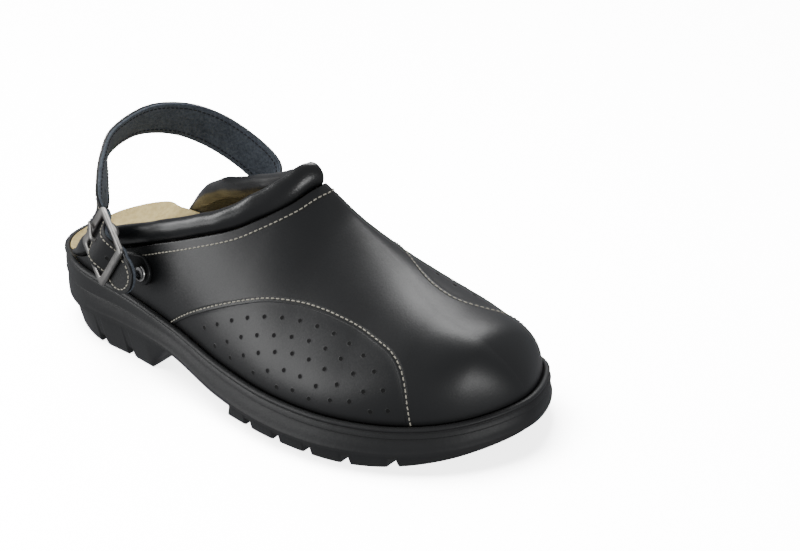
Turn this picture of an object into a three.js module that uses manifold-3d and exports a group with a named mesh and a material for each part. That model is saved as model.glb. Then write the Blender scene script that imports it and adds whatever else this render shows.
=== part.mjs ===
// Work slipper for the right foot: a closed-toe clog with a padded collar and a heel strap.
// Millimetres. The toe points to +X, the inner side of the foot is +Y, the floor is Z = 0.
import * as THREE from 'three';
import Module from 'manifold-3d';
import { mergeVertices } from 'three/addons/utils/BufferGeometryUtils.js';

const wasm = await Module();
wasm.setup();

// Main sizes
const soleLength = 285;
const ballWidth = 108;
const rimHeight = 42;
const instepRise = 72;
const clearance = 0.3;
const featherInset = 3.5;
const beadInset = 2.7;
const upperWall = 2.2;
const footbedThickness = 3.2;
const cupWidth = 60;
const cupDepth = 7;
const archRise = 12;
const footbedLip = 0.8;
const bandFlare = 2.4;
const toeSpring = 13;
const springLength = 70;
const bandReturn = 3;
const bandLip = 0.5;
const ridgeStep = 0.7;
const beadHeight = 1.6;

// Form of the last, a row for each station from the back of the heel to the tip of the toe.
// along and crestAlong are shares of the sole's length, outer, inner and crestShift of the ball
// width, rim of the rim's height and crestRise of the rise of the instep above it.
const stationColumns = ['along', 'outer', 'inner', 'rim', 'crestAlong', 'crestRise', 'crestShift',
  'shoulder', 'crown', 'lean'];
const stations = [
  [0.004, 0.000, 0.000, 0.917, 0.000, 1.000, 0.00, 0.49, 0.37, 0.00],
  [0.036, 0.191, 0.205, 0.952, 0.040, 1.000, 0.00, 0.49, 0.37, 0.00],
  [0.130, 0.337, 0.333, 0.976, 0.130, 1.000, 0.03, 0.49, 0.37, 0.00],
  [0.260, 0.377, 0.337, 0.905, 0.287, 1.039, 0.025, 0.49, 0.37, 0.00],
  [0.390, 0.431, 0.289, 0.810, 0.426, 1.078, 0.030, 0.46, 0.33, 0.00],
  [0.520, 0.496, 0.344, 0.667, 0.561, 1.070, 0.083, 0.36, 0.24, 0.02],
  [0.640, 0.532, 0.449, 0.595, 0.640, 0.858, 0.104, 0.37, 0.31, 0.03],
  [0.760, 0.510, 0.486, 0.571, 0.739, 0.659, 0.073, 0.44, 0.47, 0.04],
  [0.870, 0.403, 0.444, 0.571, 0.840, 0.528, -0.01, 0.58, 0.59, 0.04],
  [0.955, 0.220, 0.336, 0.619, 0.935, 0.389, -0.02, 0.57, 0.60, 0.04],
  [1.000, -0.050, 0.050, 0.679, 1 - featherInset / soleLength, 0.000, 0.05, 0.50, 0.60, 0.00],
];

// Side of the sole and the footbed at the same stations: depth of the ridge and of the band's
// lip below the rim as shares of its height, and shares of the flare, arch rise and cup depth.
const soleColumns = ['ridgeDrop', 'bandDrop', 'flare', 'archShare', 'cup'];
const soleRows = [
  [0.238, 0.524, 0.20, 0.00, 0.86],
  [0.250, 0.548, 0.20, 0.27, 0.86],
  [0.250, 0.536, 0.30, 0.68, 0.93],
  [0.186, 0.429, 0.40, 0.93, 1.00],
  [0.105, 0.310, 0.80, 0.68, 0.93],
  [0.095, 0.333, 1.00, 0.31, 0.71],
  [0.095, 0.333, 1.00, 0.06, 0.50],
  [0.095, 0.321, 0.90, 0.00, 0.43],
  [0.095, 0.310, 0.60, 0.00, 0.43],
  [0.095, 0.298, 0.35, 0.00, 0.43],
  [0.095, 0.298, 0.20, 0.00, 0.36],
];

// Edge of the opening: the share of the section kept on each side, by station. The outer wing
// runs back along the heel, the inner wing ends at the strap.
const outerTopline = [
  [1.62, 1.000], [1.75, 0.985], [2.00, 0.958], [2.25, 0.915], [2.50, 0.866], [3.00, 0.784],
  [3.50, 0.702], [4.00, 0.610], [4.50, 0.492], [4.75, 0.408], [5.00, 0.298],
  [5.15, 0.190], [5.25, 0.000],
];
const innerTopline = [
  [2.30, 1.000], [2.38, 0.960], [2.55, 0.905], [3.00, 0.796], [3.50, 0.682],
  [4.00, 0.575], [4.50, 0.438], [4.75, 0.352], [5.00, 0.258], [5.15, 0.165], [5.25, 0.000],
];
const toplineOf = (side) => (side < 0 ? outerTopline : innerTopline);
const lastStation = stations.length - 1;
const throatStation = outerTopline[outerTopline.length - 1][0];

// Treads: side views of what is cut away between them, and the notches across them.
// Corners are shares of the sole's length and the rim's height.
const heelBreast = [
  [0.298, -0.02], [0.309, 0.10], [0.330, 0.25], [0.361, 0.41], [0.407, 0.48], [0.407, -0.02],
];
const treadStart = 4.75;
const treadFront = [[0.456, -0.02], [0.456, 0.52], [0.537, 0.52], [0.528, 0.19], [0.518, -0.02]];
const notchPlaces = [0.075, 0.167, 0.242, 0.572, 0.639, 0.705, 0.775, 0.849];
const notchWidth = 4;
const notchDepth = 4;
const heelEnd = 4.05;
const treadRoot = { inset: 5.5, rise: 4, lap: 0.2 };
const treadEdge = 1.5;
const heelFoot = { topInset: 1.2, lowInset: 4, bottomInset: 5 };
const foreFoot = { topInset: 2.6, lowInset: 3.6, bottomInset: 5 };

// Collar: a padded roll on the topline with a short skirt inside the wall.
const rollRadius = 5.4;
const rollOverhang = 0.6;
const rollStand = 1.2;
const throatSwell = 0.9;
const throatSqueeze = 0.36;
const turnReach = 15;
const rollEndRadius = 1.8;
const rollEndLift = 0.6;
const outerTaper = 18;
const innerTaper = 42;
const skirtStart = 4;
const skirtThickness = 1.2;
const skirtDepth = 3.4;

// Buckle: its centre as shares of length, ball width and instep height, the strap's direction
// through it and the direction across it.
const buckleCentre = [0.251, -0.435, 0.586];
const buckleAlong = new THREE.Vector3(-0.778, 0.375, 0.496).normalize();
const buckleAcross = new THREE.Vector3(0.565, 0.095, 0.814);
const buckleLength = 29;
const buckleWidth = 27;
const barWidth = 3;
const endBarWidth = 4.2;
const barDepth = 2.2;
const sideBarDepth = 4.3;
const centreBarRadius = 1.1;
const centreBarDrop = 2.2;
const cornerRadius = 2.4;
const cheekLength = 10;
const cheekInset = 0.6;
const prongWidth = 2.2;
const prongThickness = 1.5;
const prongSlot = { from: 1.7, to: 6, width: 3.6 };

// Strap, tab and rivets
const strapWidth = 20;
const strapThickness = 2.5;
const strapPivot = 0.47;
const strapTip = 11.5;
const strapDip = 2.6;
const strapLead = 3;
const strapSpring = 1.6;
const strapEnd = 11;
const tabWidth = 12;
const tabThickness = 1.6;
const tabSlot = { from: -4, to: 5, width: 3.4 };
const headRadius = 4;
const headHeight = 1.6;
const washerRadius = 3.2;
const washerThickness = 0.8;
const shankRadius = 1.5;
const rivetOuter = { station: 3.38, share: -0.845 };
const rivetInner = { station: 3.57, share: 0.848 };

// Path of the strap round the back of the heel, from the buckle to the inner side: place as
// shares of length, ball width and instep height, and the direction across the strap.
const strapPath = [
  [0.189, -0.262, 0.720, 0.20, -0.28, 0.92],
  [0.150, -0.140, 0.785, 0.28, -0.22, 0.93],
  [0.115, -0.005, 0.832, 0.48, -0.02, 0.87],
  [0.106, 0.214, 0.848, 0.54, 0.14, 0.83],
  [0.129, 0.391, 0.811, 0.55, 0.20, 0.81],
  [0.173, 0.501, 0.744, 0.52, 0.24, 0.82],
  [0.234, 0.556, 0.652, 0.48, 0.21, 0.85],
  [0.286, 0.560, 0.563, 0.42, 0.16, 0.89],
  [0.312, 0.482, 0.515, 0.39, 0.04, 0.92],
  [0.313, 0.353, 0.491, 0.39, -0.08, 0.92],
];

const point = (x, y, z) => new THREE.Vector3(x, y, z);
const mix = (a, b, share) => a + (b - a) * share;
const clamp = (value, low, high) => Math.min(Math.max(value, low), high);
const smooth = (value, low, high) => {
  const share = clamp((value - low) / (high - low), 0, 1);
  return share * share * (3 - 2 * share);
};

// Cubic through the values of a column; the value past either end is given.
function alongColumn(values, station, before, after) {
  const index = clamp(Math.floor(station), 0, values.length - 2);
  const part = station - index;
  const a = index > 0 ? values[index - 1] : before;
  const b = values[index];
  const c = values[index + 1];
  const d = index + 2 < values.length ? values[index + 2] : after;
  return 0.5 * (2 * b + (c - a) * part + (2 * a - 5 * b + 4 * c - d) * part ** 2
    + (3 * b - a - 3 * c + d) * part ** 3);
}

const columnOf = (name) => stations.map((row) => row[stationColumns.indexOf(name)]);
const soleColumnOf = (name) => soleRows.map((row) => row[soleColumns.indexOf(name)]);
const beforeLast = (values) => values[values.length - 2];

// The size that each column is a share of; the other columns are plain numbers.
const columnSizes = {
  rim: rimHeight,
  crestAlong: soleLength,
  crestRise: instepRise,
  crestShift: ballWidth,
  ridgeDrop: rimHeight,
  bandDrop: rimHeight,
  flare: bandFlare,
  archShare: archRise,
  cup: cupDepth,
};

function formValue(name, station) {
  const values = columnOf(name);
  const after = name === 'crestRise' ? -beforeLast(values) : beforeLast(values);
  return alongColumn(values, station, values[1], after) * (columnSizes[name] || 1);
}

function soleValue(name, station) {
  const values = soleColumnOf(name);
  return alongColumn(values, station, values[1], beforeLast(values)) * columnSizes[name];
}

const placeOf = ([x, y, z]) => point(x * soleLength, y * ballWidth, z * (rimHeight + instepRise));

// Outline of the sole on one side (-1 outer, 1 inner), moved inwards by the inset.
function outlineRaw(station, side) {
  const along = columnOf('along');
  const own = columnOf(side < 0 ? 'outer' : 'inner').map((value) => value * side);
  const other = columnOf(side < 0 ? 'inner' : 'outer').map((value) => value * -side);
  const x = alongColumn(along, station, along[1], beforeLast(along)) * soleLength;
  const y = alongColumn(own, station, other[1], beforeLast(other)) * ballWidth;
  return [x, y];
}

function outline(station, side, inset) {
  const step = 0.001;
  if (station < step || station > lastStation - step) {
    const [endX, endY] = outlineRaw(station, 1);
    return [endX + (station < step ? inset : -inset), endY];
  }
  const [x0, y0] = outlineRaw(Math.max(station - step, 0), side);
  const [x1, y1] = outlineRaw(Math.min(station + step, lastStation), side);
  const length = Math.hypot(x1 - x0, y1 - y0);
  const [x, y] = outlineRaw(station, side);
  const outX = (y1 - y0) / length * -side;
  const outY = (x1 - x0) / length * side;
  return [x - outX * inset, y - outY * inset];
}

// Point of the upper's outside: share is -1 at the outer feather edge, 0 on the crest, 1 inside.
function formPoint(station, share) {
  const side = share < 0 ? -1 : 1;
  const [rimX, rimY] = outline(station, side, featherInset);
  const crestX = formValue('crestAlong', station);
  const crestY = formValue('crestShift', station);
  const lean = formValue('lean', station);
  const crown = formValue('crown', station);
  const up = 1 - Math.abs(share);
  const weights = [(1 - up) ** 3, 3 * (1 - up) ** 2 * up, 3 * (1 - up) * up ** 2, up ** 3];
  const blend = (rim, crest) => weights[0] * rim + weights[1] * (rim + (rim - crest) * lean)
    + weights[2] * (crest + (rim - crest) * crown) + weights[3] * crest;
  const rise = weights[1] * formValue('shoulder', station) + weights[2] + weights[3];
  const z = formValue('rim', station) + formValue('crestRise', station) * rise;
  return point(blend(rimX, crestX), blend(rimY, crestY), z);
}

function formNormal(station, share) {
  const place = Math.min(station, lastStation - 0.02);
  const step = 0.01;
  const limit = clamp(share, step - 1, 1 - step);
  const alongWay = formPoint(place + step, share).sub(formPoint(place - step, share));
  const acrossWay = formPoint(place, limit + step).sub(formPoint(place, limit - step));
  return acrossWay.cross(alongWay).normalize().negate();
}

function inwards(station, share, depth) {
  if (station === lastStation) {
    return formPoint(station, share).sub(point(depth, 0, 0));
  }
  const normal = formNormal(station, share);
  if (Math.abs(share) > 0.999) {
    normal.setZ(0).normalize();
  }
  return formPoint(station, share).addScaledVector(normal, -depth);
}

function toplineShare(station, side) {
  const rows = toplineOf(side);
  const index = rows.findIndex((row) => row[0] >= station);
  if (index < 1) {
    return index < 0 ? 0 : 1;
  }
  const [a, shareA] = rows[index - 1];
  const [b, shareB] = rows[index];
  return mix(shareA, shareB, (station - a) / (b - a));
}

const spread = (from, to, count) => Array.from({ length: count + 1 },
  (_, index) => mix(from, to, index / count));
const stationList = (counts, from, to) => counts.flatMap((count, index) => spread(index, index + 1, count)
  .slice(0, -1)).concat([lastStation]).filter((value) => value > from + 0.02 && value < to - 0.02);

// Solid from triangles of points; points closer than a thousandth are one.
function solidOf(triangles) {
  const places = new Map();
  const corners = [];
  const index = (corner) => {
    const key = corner.toArray().map((value) => Math.round(value * 1000)).join(' ');
    if (!places.has(key)) {
      places.set(key, corners.length / 3);
      corners.push(corner.x, corner.y, corner.z);
    }
    return places.get(key);
  };
  const faces = triangles.map((triangle) => triangle.map(index))
    .filter(([a, b, c]) => a !== b && b !== c && c !== a);
  const volume = faces.reduce((sum, face) => {
    const [a, b, c] = face.map((item) => point(...corners.slice(item * 3, item * 3 + 3)));
    return sum + a.dot(b.cross(c));
  }, 0);
  const order = volume < 0 ? faces.map(([a, b, c]) => [a, c, b]) : faces;
  return new wasm.Manifold(new wasm.Mesh({
    numProp: 3,
    vertProperties: new Float32Array(corners),
    triVerts: new Uint32Array(order.flat()),
  }));
}

function quads(first, second, closed) {
  const count = first.length;
  const faces = [];
  for (let index = 0; index < (closed ? count : count - 1); index += 1) {
    const next = (index + 1) % count;
    faces.push([first[index], first[next], second[next]], [first[index], second[next], second[index]]);
  }
  return faces;
}

// Closed loops joined one after the other; each end is closed to its own middle.
function loft(rings, capped = true) {
  const faces = [];
  for (let index = 1; index < rings.length; index += 1) {
    faces.push(...quads(rings[index - 1], rings[index], true));
  }
  if (capped) {
    const caps = [[rings[0], -1], [rings[rings.length - 1], 1]];
    caps.forEach(([ring, turn]) => {
      const middle = ring.reduce((sum, corner) => sum.add(corner), point(0, 0, 0))
        .divideScalar(ring.length);
      ring.forEach((corner, index) => {
        const next = ring[(index + 1) % ring.length];
        faces.push(turn > 0 ? [middle, corner, next] : [middle, next, corner]);
      });
    });
  }
  return solidOf(faces);
}

// Prism across the slipper from corners in side view.
function sidePrism(corners) {
  const ring = (y) => corners.map(([x, z]) => point(x, y, z));
  return loft([ring(-ballWidth), ring(ballWidth)]);
}

// Prism from corners in two directions, drawn out in the third; place turns them into points.
function prism(corners, from, to, place) {
  return loft([from, to].map((depth) => corners.map(([a, b]) => place(a, b, depth))));
}

const rectangle = (lowA, lowB, highA, highB) => [[lowA, lowB], [highA, lowB], [highA, highB],
  [lowA, highB]];

function roundedRectangle(halfA, halfB, radius) {
  const corners = [[1, 1, 0], [-1, 1, 1], [-1, -1, 2], [1, -1, 3]];
  return corners.flatMap(([signA, signB, quarter]) => spread(0, 1, 4).map((share) => {
    const angle = (quarter + share) * Math.PI / 2;
    return [signA * (halfA - radius) + radius * Math.cos(angle),
      signB * (halfB - radius) + radius * Math.sin(angle)];
  }));
}

// Sole
const floorHeight = (x) => toeSpring * Math.max(1 - (soleLength - x) / springLength, 0) ** 2;
// The footbed reaches the edge behind the wings and keeps clear of wall and skirt beside them.
const wingLead = 0.45;
const footbedGap = 2.4;
const footbedInset = (station, side) => mix(featherInset - clearance,
  featherInset + upperWall + footbedGap, smooth(station, toplineOf(side)[0][0] - wingLead,
    toplineOf(side)[0][0]));
const acrossCount = 6;

function footbedHeight(station, across) {
  const edge = footbedLip + soleValue('archShare', station) * (across + 1) / 2;
  const width = outline(station, 1, 0)[1] - outline(station, -1, 0)[1];
  const cup = soleValue('cup', station) * smooth(width, 0, cupWidth);
  return formValue('rim', station) + edge - cup * (1 - across * across);
}

function acrossPoints(station, insetOf, height) {
  const [outerX, outerY] = outline(station, -1, insetOf(-1));
  const [innerX, innerY] = outline(station, 1, insetOf(1));
  return spread(-1, 1, acrossCount).map((across) => {
    const share = (across + 1) / 2;
    const x = mix(outerX, innerX, share);
    return point(x, mix(outerY, innerY, share), height(across, x));
  });
}

function bodySide(station, side) {
  const rim = formValue('rim', station);
  const ridge = soleValue('ridgeDrop', station);
  const band = soleValue('bandDrop', station);
  const flare = soleValue('flare', station);
  const rows = [
    [bandReturn, band + bandLip],
    [-0.8 * flare, band],
    [-flare, band * 0.9],
    [-0.4 * flare, mix(ridge, band, 0.5)],
    [ridgeStep, ridge + 1.4 * ridgeStep],
    [-0.4 * ridgeStep, ridge],
    [0, mix(beadHeight, ridge, 0.45)],
    [0.5 * beadHeight, beadHeight],
    [0.06 * beadHeight, 0.45 * beadHeight],
    [0.4 * beadHeight, -0.4 * beadHeight],
    [0.6 * beadInset, -0.55 * beadHeight],
    [beadInset, -0.3 * beadHeight],
    [beadInset, clearance],
  ];
  return rows.map(([inset, drop]) => point(...outline(station, side, inset), rim - drop));
}

function bodyRing(station) {
  const rim = formValue('rim', station);
  const ledge = (side) => footbedInset(station, side) - clearance;
  const recess = (across) => footbedHeight(station, across) - footbedThickness - clearance;
  const underside = rim - soleValue('bandDrop', station) - bandLip;
  const ledgePoint = (side) => point(...outline(station, side, ledge(side) - 0.01), rim - clearance);
  const top = acrossPoints(station, ledge, recess);
  const bottom = acrossPoints(station, () => bandReturn, () => underside).slice(1, -1).reverse();
  return [...bodySide(station, -1), ledgePoint(-1), ...top, ledgePoint(1),
    ...bodySide(station, 1).reverse(), ...bottom];
}

const bodyStations = [0, ...stationList([5, 4, 4, 3, 4, 4, 4, 4, 4, 5], 0, lastStation), lastStation];
const soleBody = loft(bodyStations.map(bodyRing), false);

// A tread hangs from the band: its wall, its bottom and a root inside the body.
function treadRing(station, foot) {
  const rim = formValue('rim', station);
  const lip = rim - soleValue('bandDrop', station);
  const wall = (side) => [
    point(...outline(station, side, treadRoot.inset), lip + treadRoot.rise),
    point(...outline(station, side, foot.topInset), lip - treadRoot.lap),
    point(...outline(station, side, foot.lowInset),
      floorHeight(outline(station, side, foot.bottomInset)[0]) + treadEdge),
  ];
  const bottom = acrossPoints(station, () => foot.bottomInset, (across, x) => floorHeight(x));
  const top = acrossPoints(station, () => treadRoot.inset, () => lip + treadRoot.rise)
    .slice(1, -1).reverse();
  return [...wall(-1), ...bottom, ...wall(1).reverse(), ...top];
}

const inSideView = (corners) => corners.map(([x, z]) => [x * soleLength, z * rimHeight]);
const heelBlock = loft([0, ...stationList([5, 4, 4, 3], 0, 4), heelEnd].map((station) => treadRing(
  station, heelFoot))).subtract(sidePrism(inSideView(heelBreast)));
const treadBlock = loft([treadStart, ...stationList([0, 0, 0, 0, 0, 4, 4, 4, 4, 5], treadStart,
  lastStation), lastStation].map((station) => treadRing(station, foreFoot)))
  .subtract(sidePrism(inSideView(treadFront)));
let sole = soleBody.add(heelBlock).add(treadBlock);
notchPlaces.forEach((share) => {
  const x = share * soleLength;
  const low = floorHeight(x);
  sole = sole.subtract(sidePrism(rectangle(x - notchWidth / 2, low - 2 * notchDepth,
    x + notchWidth / 2, low + notchDepth)));
});

// Footbed
function footbedRing(station) {
  const inset = (side) => footbedInset(station, side);
  const top = acrossPoints(station, inset, (across) => footbedHeight(station, across));
  const bottom = acrossPoints(station, inset, (across) => footbedHeight(station, across)
    - footbedThickness);
  return [...top, ...bottom.reverse()];
}
const footbed = loft(bodyStations.map(footbedRing), false);

// Upper: outside and inside skins from the feather edge to the topline or the crest.
const upperStations = (side) => [...toplineOf(side).map((row) => row[0]), ...bodyStations
  .filter((station) => station > toplineOf(side)[0][0])].sort((a, b) => a - b)
  .filter((station, index, list) => index === 0 || station - list[index - 1] > 0.06);
const wallCount = 8;

function wallRing(station, side) {
  const limit = toplineShare(station, side);
  const shares = spread(1, limit, wallCount).map((value) => value * side);
  const outside = shares.map((share) => formPoint(station, share));
  const inside = shares.map((share) => inwards(station, share, upperWall));
  return { outside, inside };
}

function upperFaces(side) {
  const faces = [];
  const places = upperStations(side);
  const rings = places.map((station) => wallRing(station, side));
  for (let index = 1; index < rings.length; index += 1) {
    const [a, b] = [rings[index - 1], rings[index]];
    const strips = [quads(a.outside, b.outside, false), quads(b.inside, a.inside, false),
      quads([a.inside[0], a.outside[0]], [b.inside[0], b.outside[0]], false)];
    if (places[index - 1] < throatStation) {
      strips.push(quads([a.outside[wallCount], a.inside[wallCount]],
        [b.outside[wallCount], b.inside[wallCount]], false));
    }
    strips.forEach((strip) => strip.forEach(([p, q, r]) => faces.push(side < 0 ? [p, q, r] : [p, r, q])));
  }
  return faces;
}
let upper = solidOf([...upperFaces(-1), ...upperFaces(1)]);

// Collar: section across the topline, out from the wall and up from its edge.
function collarSection(radius, depth, skirt) {
  const arc = spread(-50, 230, 10).map((degrees) => {
    const angle = degrees * Math.PI / 180;
    return [rollOverhang - depth + depth * Math.cos(angle),
      2 * clearance + radius * (1 + Math.sin(angle))];
  });
  const outerFace = -upperWall - 2 * clearance;
  const innerFace = outerFace - Math.min(skirtThickness, radius * 0.5);
  return [[outerFace, -skirt], [outerFace, 2 * clearance], ...arc, [innerFace, 2 * clearance],
    [innerFace, -skirt]];
}

const edgeStations = [1.62, 1.68, 1.76, 1.87, 2, 2.12, 2.28, 2.45, 2.7, 3, 3.5, 4, 4.35, 4.65,
  4.85, 5, 5.1, 5.18, 5.23];
const edgeOf = (side) => edgeStations.filter((station) => station >= toplineOf(side)[0][0])
  .map((station) => [station, side * toplineShare(station, side)]);
const edgePlaces = [...edgeOf(-1), [throatStation, 0], ...edgeOf(1).reverse()];
const edgePoints = edgePlaces.map(([station, share]) => formPoint(station, share));
const edgeLengths = edgePoints.reduce((list, corner, index) => [...list, index === 0 ? 0
  : list[index - 1] + corner.distanceTo(edgePoints[index - 1])], []);
const edgeTotal = edgeLengths[edgeLengths.length - 1];

// Place on the edge at a length from its outer end.
function edgeAt(length) {
  const mark = clamp(length, 0, edgeTotal);
  const index = Math.max(edgeLengths.findIndex((value) => value >= mark), 1);
  const part = (mark - edgeLengths[index - 1]) / (edgeLengths[index] - edgeLengths[index - 1]);
  return edgePoints[index - 1].clone().lerp(edgePoints[index], part);
}

function collarRing(index, push, scale) {
  const [station, share] = edgePlaces[index];
  const here = edgeLengths[index];
  const way = edgeAt(here + turnReach).sub(edgeAt(here - turnReach)).normalize();
  const out = formNormal(station, share);
  out.addScaledVector(way, -out.dot(way)).normalize();
  const up = way.clone().cross(out).normalize().negate();
  up.add(point(0, 0, rollStand)).addScaledVector(way, -rollStand * way.z).normalize();
  const sideways = up.clone().cross(way).normalize();
  sideways.multiplyScalar(Math.sign(sideways.dot(out)));
  const reach = Math.min(here, edgeTotal - here);
  const taper = here < edgeTotal / 2 ? outerTaper : innerTaper;
  const throat = smooth(reach, edgeTotal * 0.35, edgeTotal * 0.48);
  const radius = mix(rollEndRadius, rollRadius, smooth(reach, 0, taper)) + throatSwell * throat;
  const skirt = skirtDepth * smooth(reach, skirtStart, taper / 2);
  const section = collarSection(radius, radius * (1 - throatSqueeze * throat), skirt);
  const lift = rollEndLift * (1 - smooth(reach, 0, taper / 3));
  const middle = [-radius / 2 - rollOverhang, radius + clearance];
  return section.map(([a, b]) => edgePoints[index].clone()
    .addScaledVector(b > 0 ? sideways : out, mix(middle[0], a, scale))
    .addScaledVector(up, mix(middle[1], b, scale))
    .addScaledVector(way, push * radius)
    .add(point(0, 0, lift)));
}

// Rings past each end, by push as a share of the radius and scale, round it off.
const rollTip = [[0.8, 0.8], [1.2, 0.4]];
const finish = edgePlaces.length - 1;
const collar = loft([
  ...rollTip.map(([push, scale]) => collarRing(0, -push, scale)).reverse(),
  ...edgePlaces.map((place, index) => collarRing(index, 0, 1)),
  ...rollTip.map(([push, scale]) => collarRing(finish, push, scale)),
]);

// Buckle: places are along the strap, across it and out from it.
const buckleOut = buckleAcross.clone().cross(buckleAlong).normalize();
const across = buckleAlong.clone().cross(buckleOut).normalize();
const atBuckle = (a, b, out) => placeOf(buckleCentre).addScaledVector(buckleAlong, a)
  .addScaledVector(across, b).addScaledVector(buckleOut, out);
const innerLength = buckleLength / 2 - endBarWidth;
const innerWidth = buckleWidth / 2 - barWidth;
const frameTop = prism(roundedRectangle(buckleLength / 2, buckleWidth / 2, cornerRadius),
  -barDepth / 2, barDepth / 2, atBuckle);
const cheeks = [-1, 1].map((side) => prism(rectangle(-cheekLength / 2, side * innerWidth,
  cheekLength / 2, side * (buckleWidth / 2 - cheekInset)), barDepth / 2 - sideBarDepth, 0, atBuckle));
const centreBar = prism(spread(0, 2 * Math.PI, 10).slice(1).map((angle) => [
  centreBarRadius * Math.cos(angle), centreBarRadius * Math.sin(angle) - centreBarDrop]),
-innerWidth - barWidth / 3, innerWidth + barWidth / 3, (a, out, b) => atBuckle(a, b, out));
const buckleFrame = frameTop
  .subtract(prism(roundedRectangle(innerLength, innerWidth, cornerRadius / 2), -barWidth, barWidth,
    atBuckle))
  .add(cheeks[0]).add(cheeks[1]).add(centreBar);

// Band of even width along a path: each place has a point and the direction across the band.
function smoothPath(places, perGap) {
  const value = (index, pick) => pick(places[clamp(index, 0, places.length - 1)]);
  const count = places.length - 1;
  return spread(0, count, count * perGap).map((at) => {
    const index = Math.min(Math.floor(at), count - 1);
    const part = at - index;
    const read = (pick) => alongColumn([value(index, pick), value(index + 1, pick)], part,
      value(index - 1, pick), value(index + 2, pick));
    const axes = (key) => point(read((p) => p[key].x), read((p) => p[key].y), read((p) => p[key].z));
    return { at: axes('at'), across: axes('across').normalize() };
  });
}

function band(places, width, thickness, roundStart, roundEnd, perGap = 2) {
  const path = smoothPath(places, perGap);
  const lengths = path.reduce((list, place, index) => [...list, index === 0 ? 0
    : list[index - 1] + place.at.distanceTo(path[index - 1].at)], []);
  const total = lengths[lengths.length - 1];
  const tipSteps = [0.03, 0.15, 0.4, 0.7, 1].map((share) => share * width / 2);
  const spaced = lengths.reduce((list, length) => (list.length === 0
    || length - list[list.length - 1] > thickness / 2 ? [...list, length] : list), []);
  const marks = [...spaced.filter((length) => (!roundStart || length > width / 2 + thickness / 4)
    && (!roundEnd || length < total - width / 2 - thickness / 4)),
  ...(roundStart ? tipSteps : []), ...(roundEnd ? tipSteps.map((step) => total - step) : [])]
    .sort((a, b) => a - b);
  const rings = marks.map((mark) => {
    const beyond = lengths.findIndex((length) => length > mark);
    const index = beyond < 1 ? path.length - 1 : beyond;
    const part = (mark - lengths[index - 1]) / (lengths[index] - lengths[index - 1]);
    const at = path[index - 1].at.clone().lerp(path[index].at, part);
    const way = path[index].at.clone().sub(path[index - 1].at);
    const next = path[Math.min(index + 1, path.length - 1)].at.clone().sub(path[index].at);
    way.normalize().lerp(next.lengthSq() > 0 ? next.normalize() : way, part / 2).normalize();
    const side = path[index - 1].across.clone().lerp(path[index].across, part);
    side.addScaledVector(way, -side.dot(way)).normalize();
    const out = way.clone().cross(side);
    const tip = Math.min(roundStart ? mark : width, roundEnd ? total - mark : width, width / 2);
    const half = Math.sqrt((width / 2) ** 2 - (width / 2 - tip) ** 2);
    return [[-1, -1], [1, -1], [1, 1], [-1, 1]].map(([b, c]) => at.clone()
      .addScaledVector(side, b * half).addScaledVector(out, c * thickness / 2));
  });
  return loft(rings);
}

// A turned piece: radius and height rows about an axis.
function turned(rows, origin, axis, count = 16) {
  const sideways = point(0, 0, 1).cross(axis).normalize();
  const upright = axis.clone().cross(sideways);
  return loft(rows.map(([radius, height]) => spread(0, 2 * Math.PI, count).slice(1).map((angle) => origin
    .clone().addScaledVector(axis, height).addScaledVector(sideways, radius * Math.cos(angle))
    .addScaledVector(upright, radius * Math.sin(angle)))), false);
}

function rivetAt({ station, share }, layer) {
  const axis = formNormal(station, share);
  const origin = formPoint(station, share);
  const seat = layer + 4 * clearance;
  const base = -upperWall - clearance;
  const holeReach = 2 * (upperWall + strapThickness);
  return {
    origin,
    axis,
    rivet: turned([[0, seat + 0.3 * headHeight], [0.55 * headRadius, seat + 0.5 * headHeight],
      [0.75 * headRadius, seat + headHeight], [0.9 * headRadius, seat + 0.95 * headHeight],
      [headRadius, seat + 0.5 * headHeight], [headRadius, seat], [shankRadius, seat],
      [shankRadius, base], [washerRadius, base], [washerRadius, base - washerThickness],
      [0, base - washerThickness]], origin, axis),
    hole: turned([[0, holeReach], [shankRadius + clearance, holeReach],
      [shankRadius + clearance, -holeReach], [0, -holeReach]], origin, axis),
  };
}

// Strap: over the centre bar, under both ends of the frame, then round to the inner rivet.
const strapUnder = barDepth / 2 + 2 * clearance + strapThickness / 2;
const strapOver = centreBarRadius - centreBarDrop + tabThickness + 3 * clearance + strapThickness / 2;
const inner = rivetAt(rivetInner, strapThickness);
const outer = rivetAt(rivetOuter, tabThickness);
const innerLift = clearance + strapThickness / 2;
const upright = point(strapPivot, 0, 1).addScaledVector(inner.axis, -inner.axis.z
  - inner.axis.x * strapPivot).normalize();
const forward = upright.clone().cross(inner.axis).normalize();
forward.multiplyScalar(Math.sign(forward.x));
const innerPlace = (ahead, lift) => ({
  at: inner.origin.clone().addScaledVector(inner.axis, innerLift + lift).addScaledVector(forward, ahead),
  across: upright,
});
const weave = [[-buckleLength / 2 - strapTip, -strapUnder - strapDip], [-buckleLength / 2, -strapUnder],
  [-innerLength, -strapUnder], [0, strapOver], [innerLength, -strapUnder],
  [buckleLength / 2 + strapLead, -strapUnder - clearance]];
const strapPlaces = [
  ...weave.map(([a, out]) => ({ at: atBuckle(a, 0, out), across })),
  ...strapPath.map(([x, y, z, acrossX, acrossY, acrossZ]) => ({ at: placeOf([x, y, z]),
    across: point(acrossX, acrossY, acrossZ) })),
  innerPlace(-strapWidth / 4, strapSpring / 2), innerPlace(0, clearance / 2),
  innerPlace(strapEnd, strapSpring),
];
const slotPrism = ({ from, to, width }) => prism(rectangle(from, -width / 2, to, width / 2),
  -2 * strapUnder, 2 * strapOver, atBuckle);
const heelStrap = band(strapPlaces, strapWidth, strapThickness, true, true, 3)
  .subtract(inner.hole).subtract(slotPrism(prongSlot));

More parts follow.
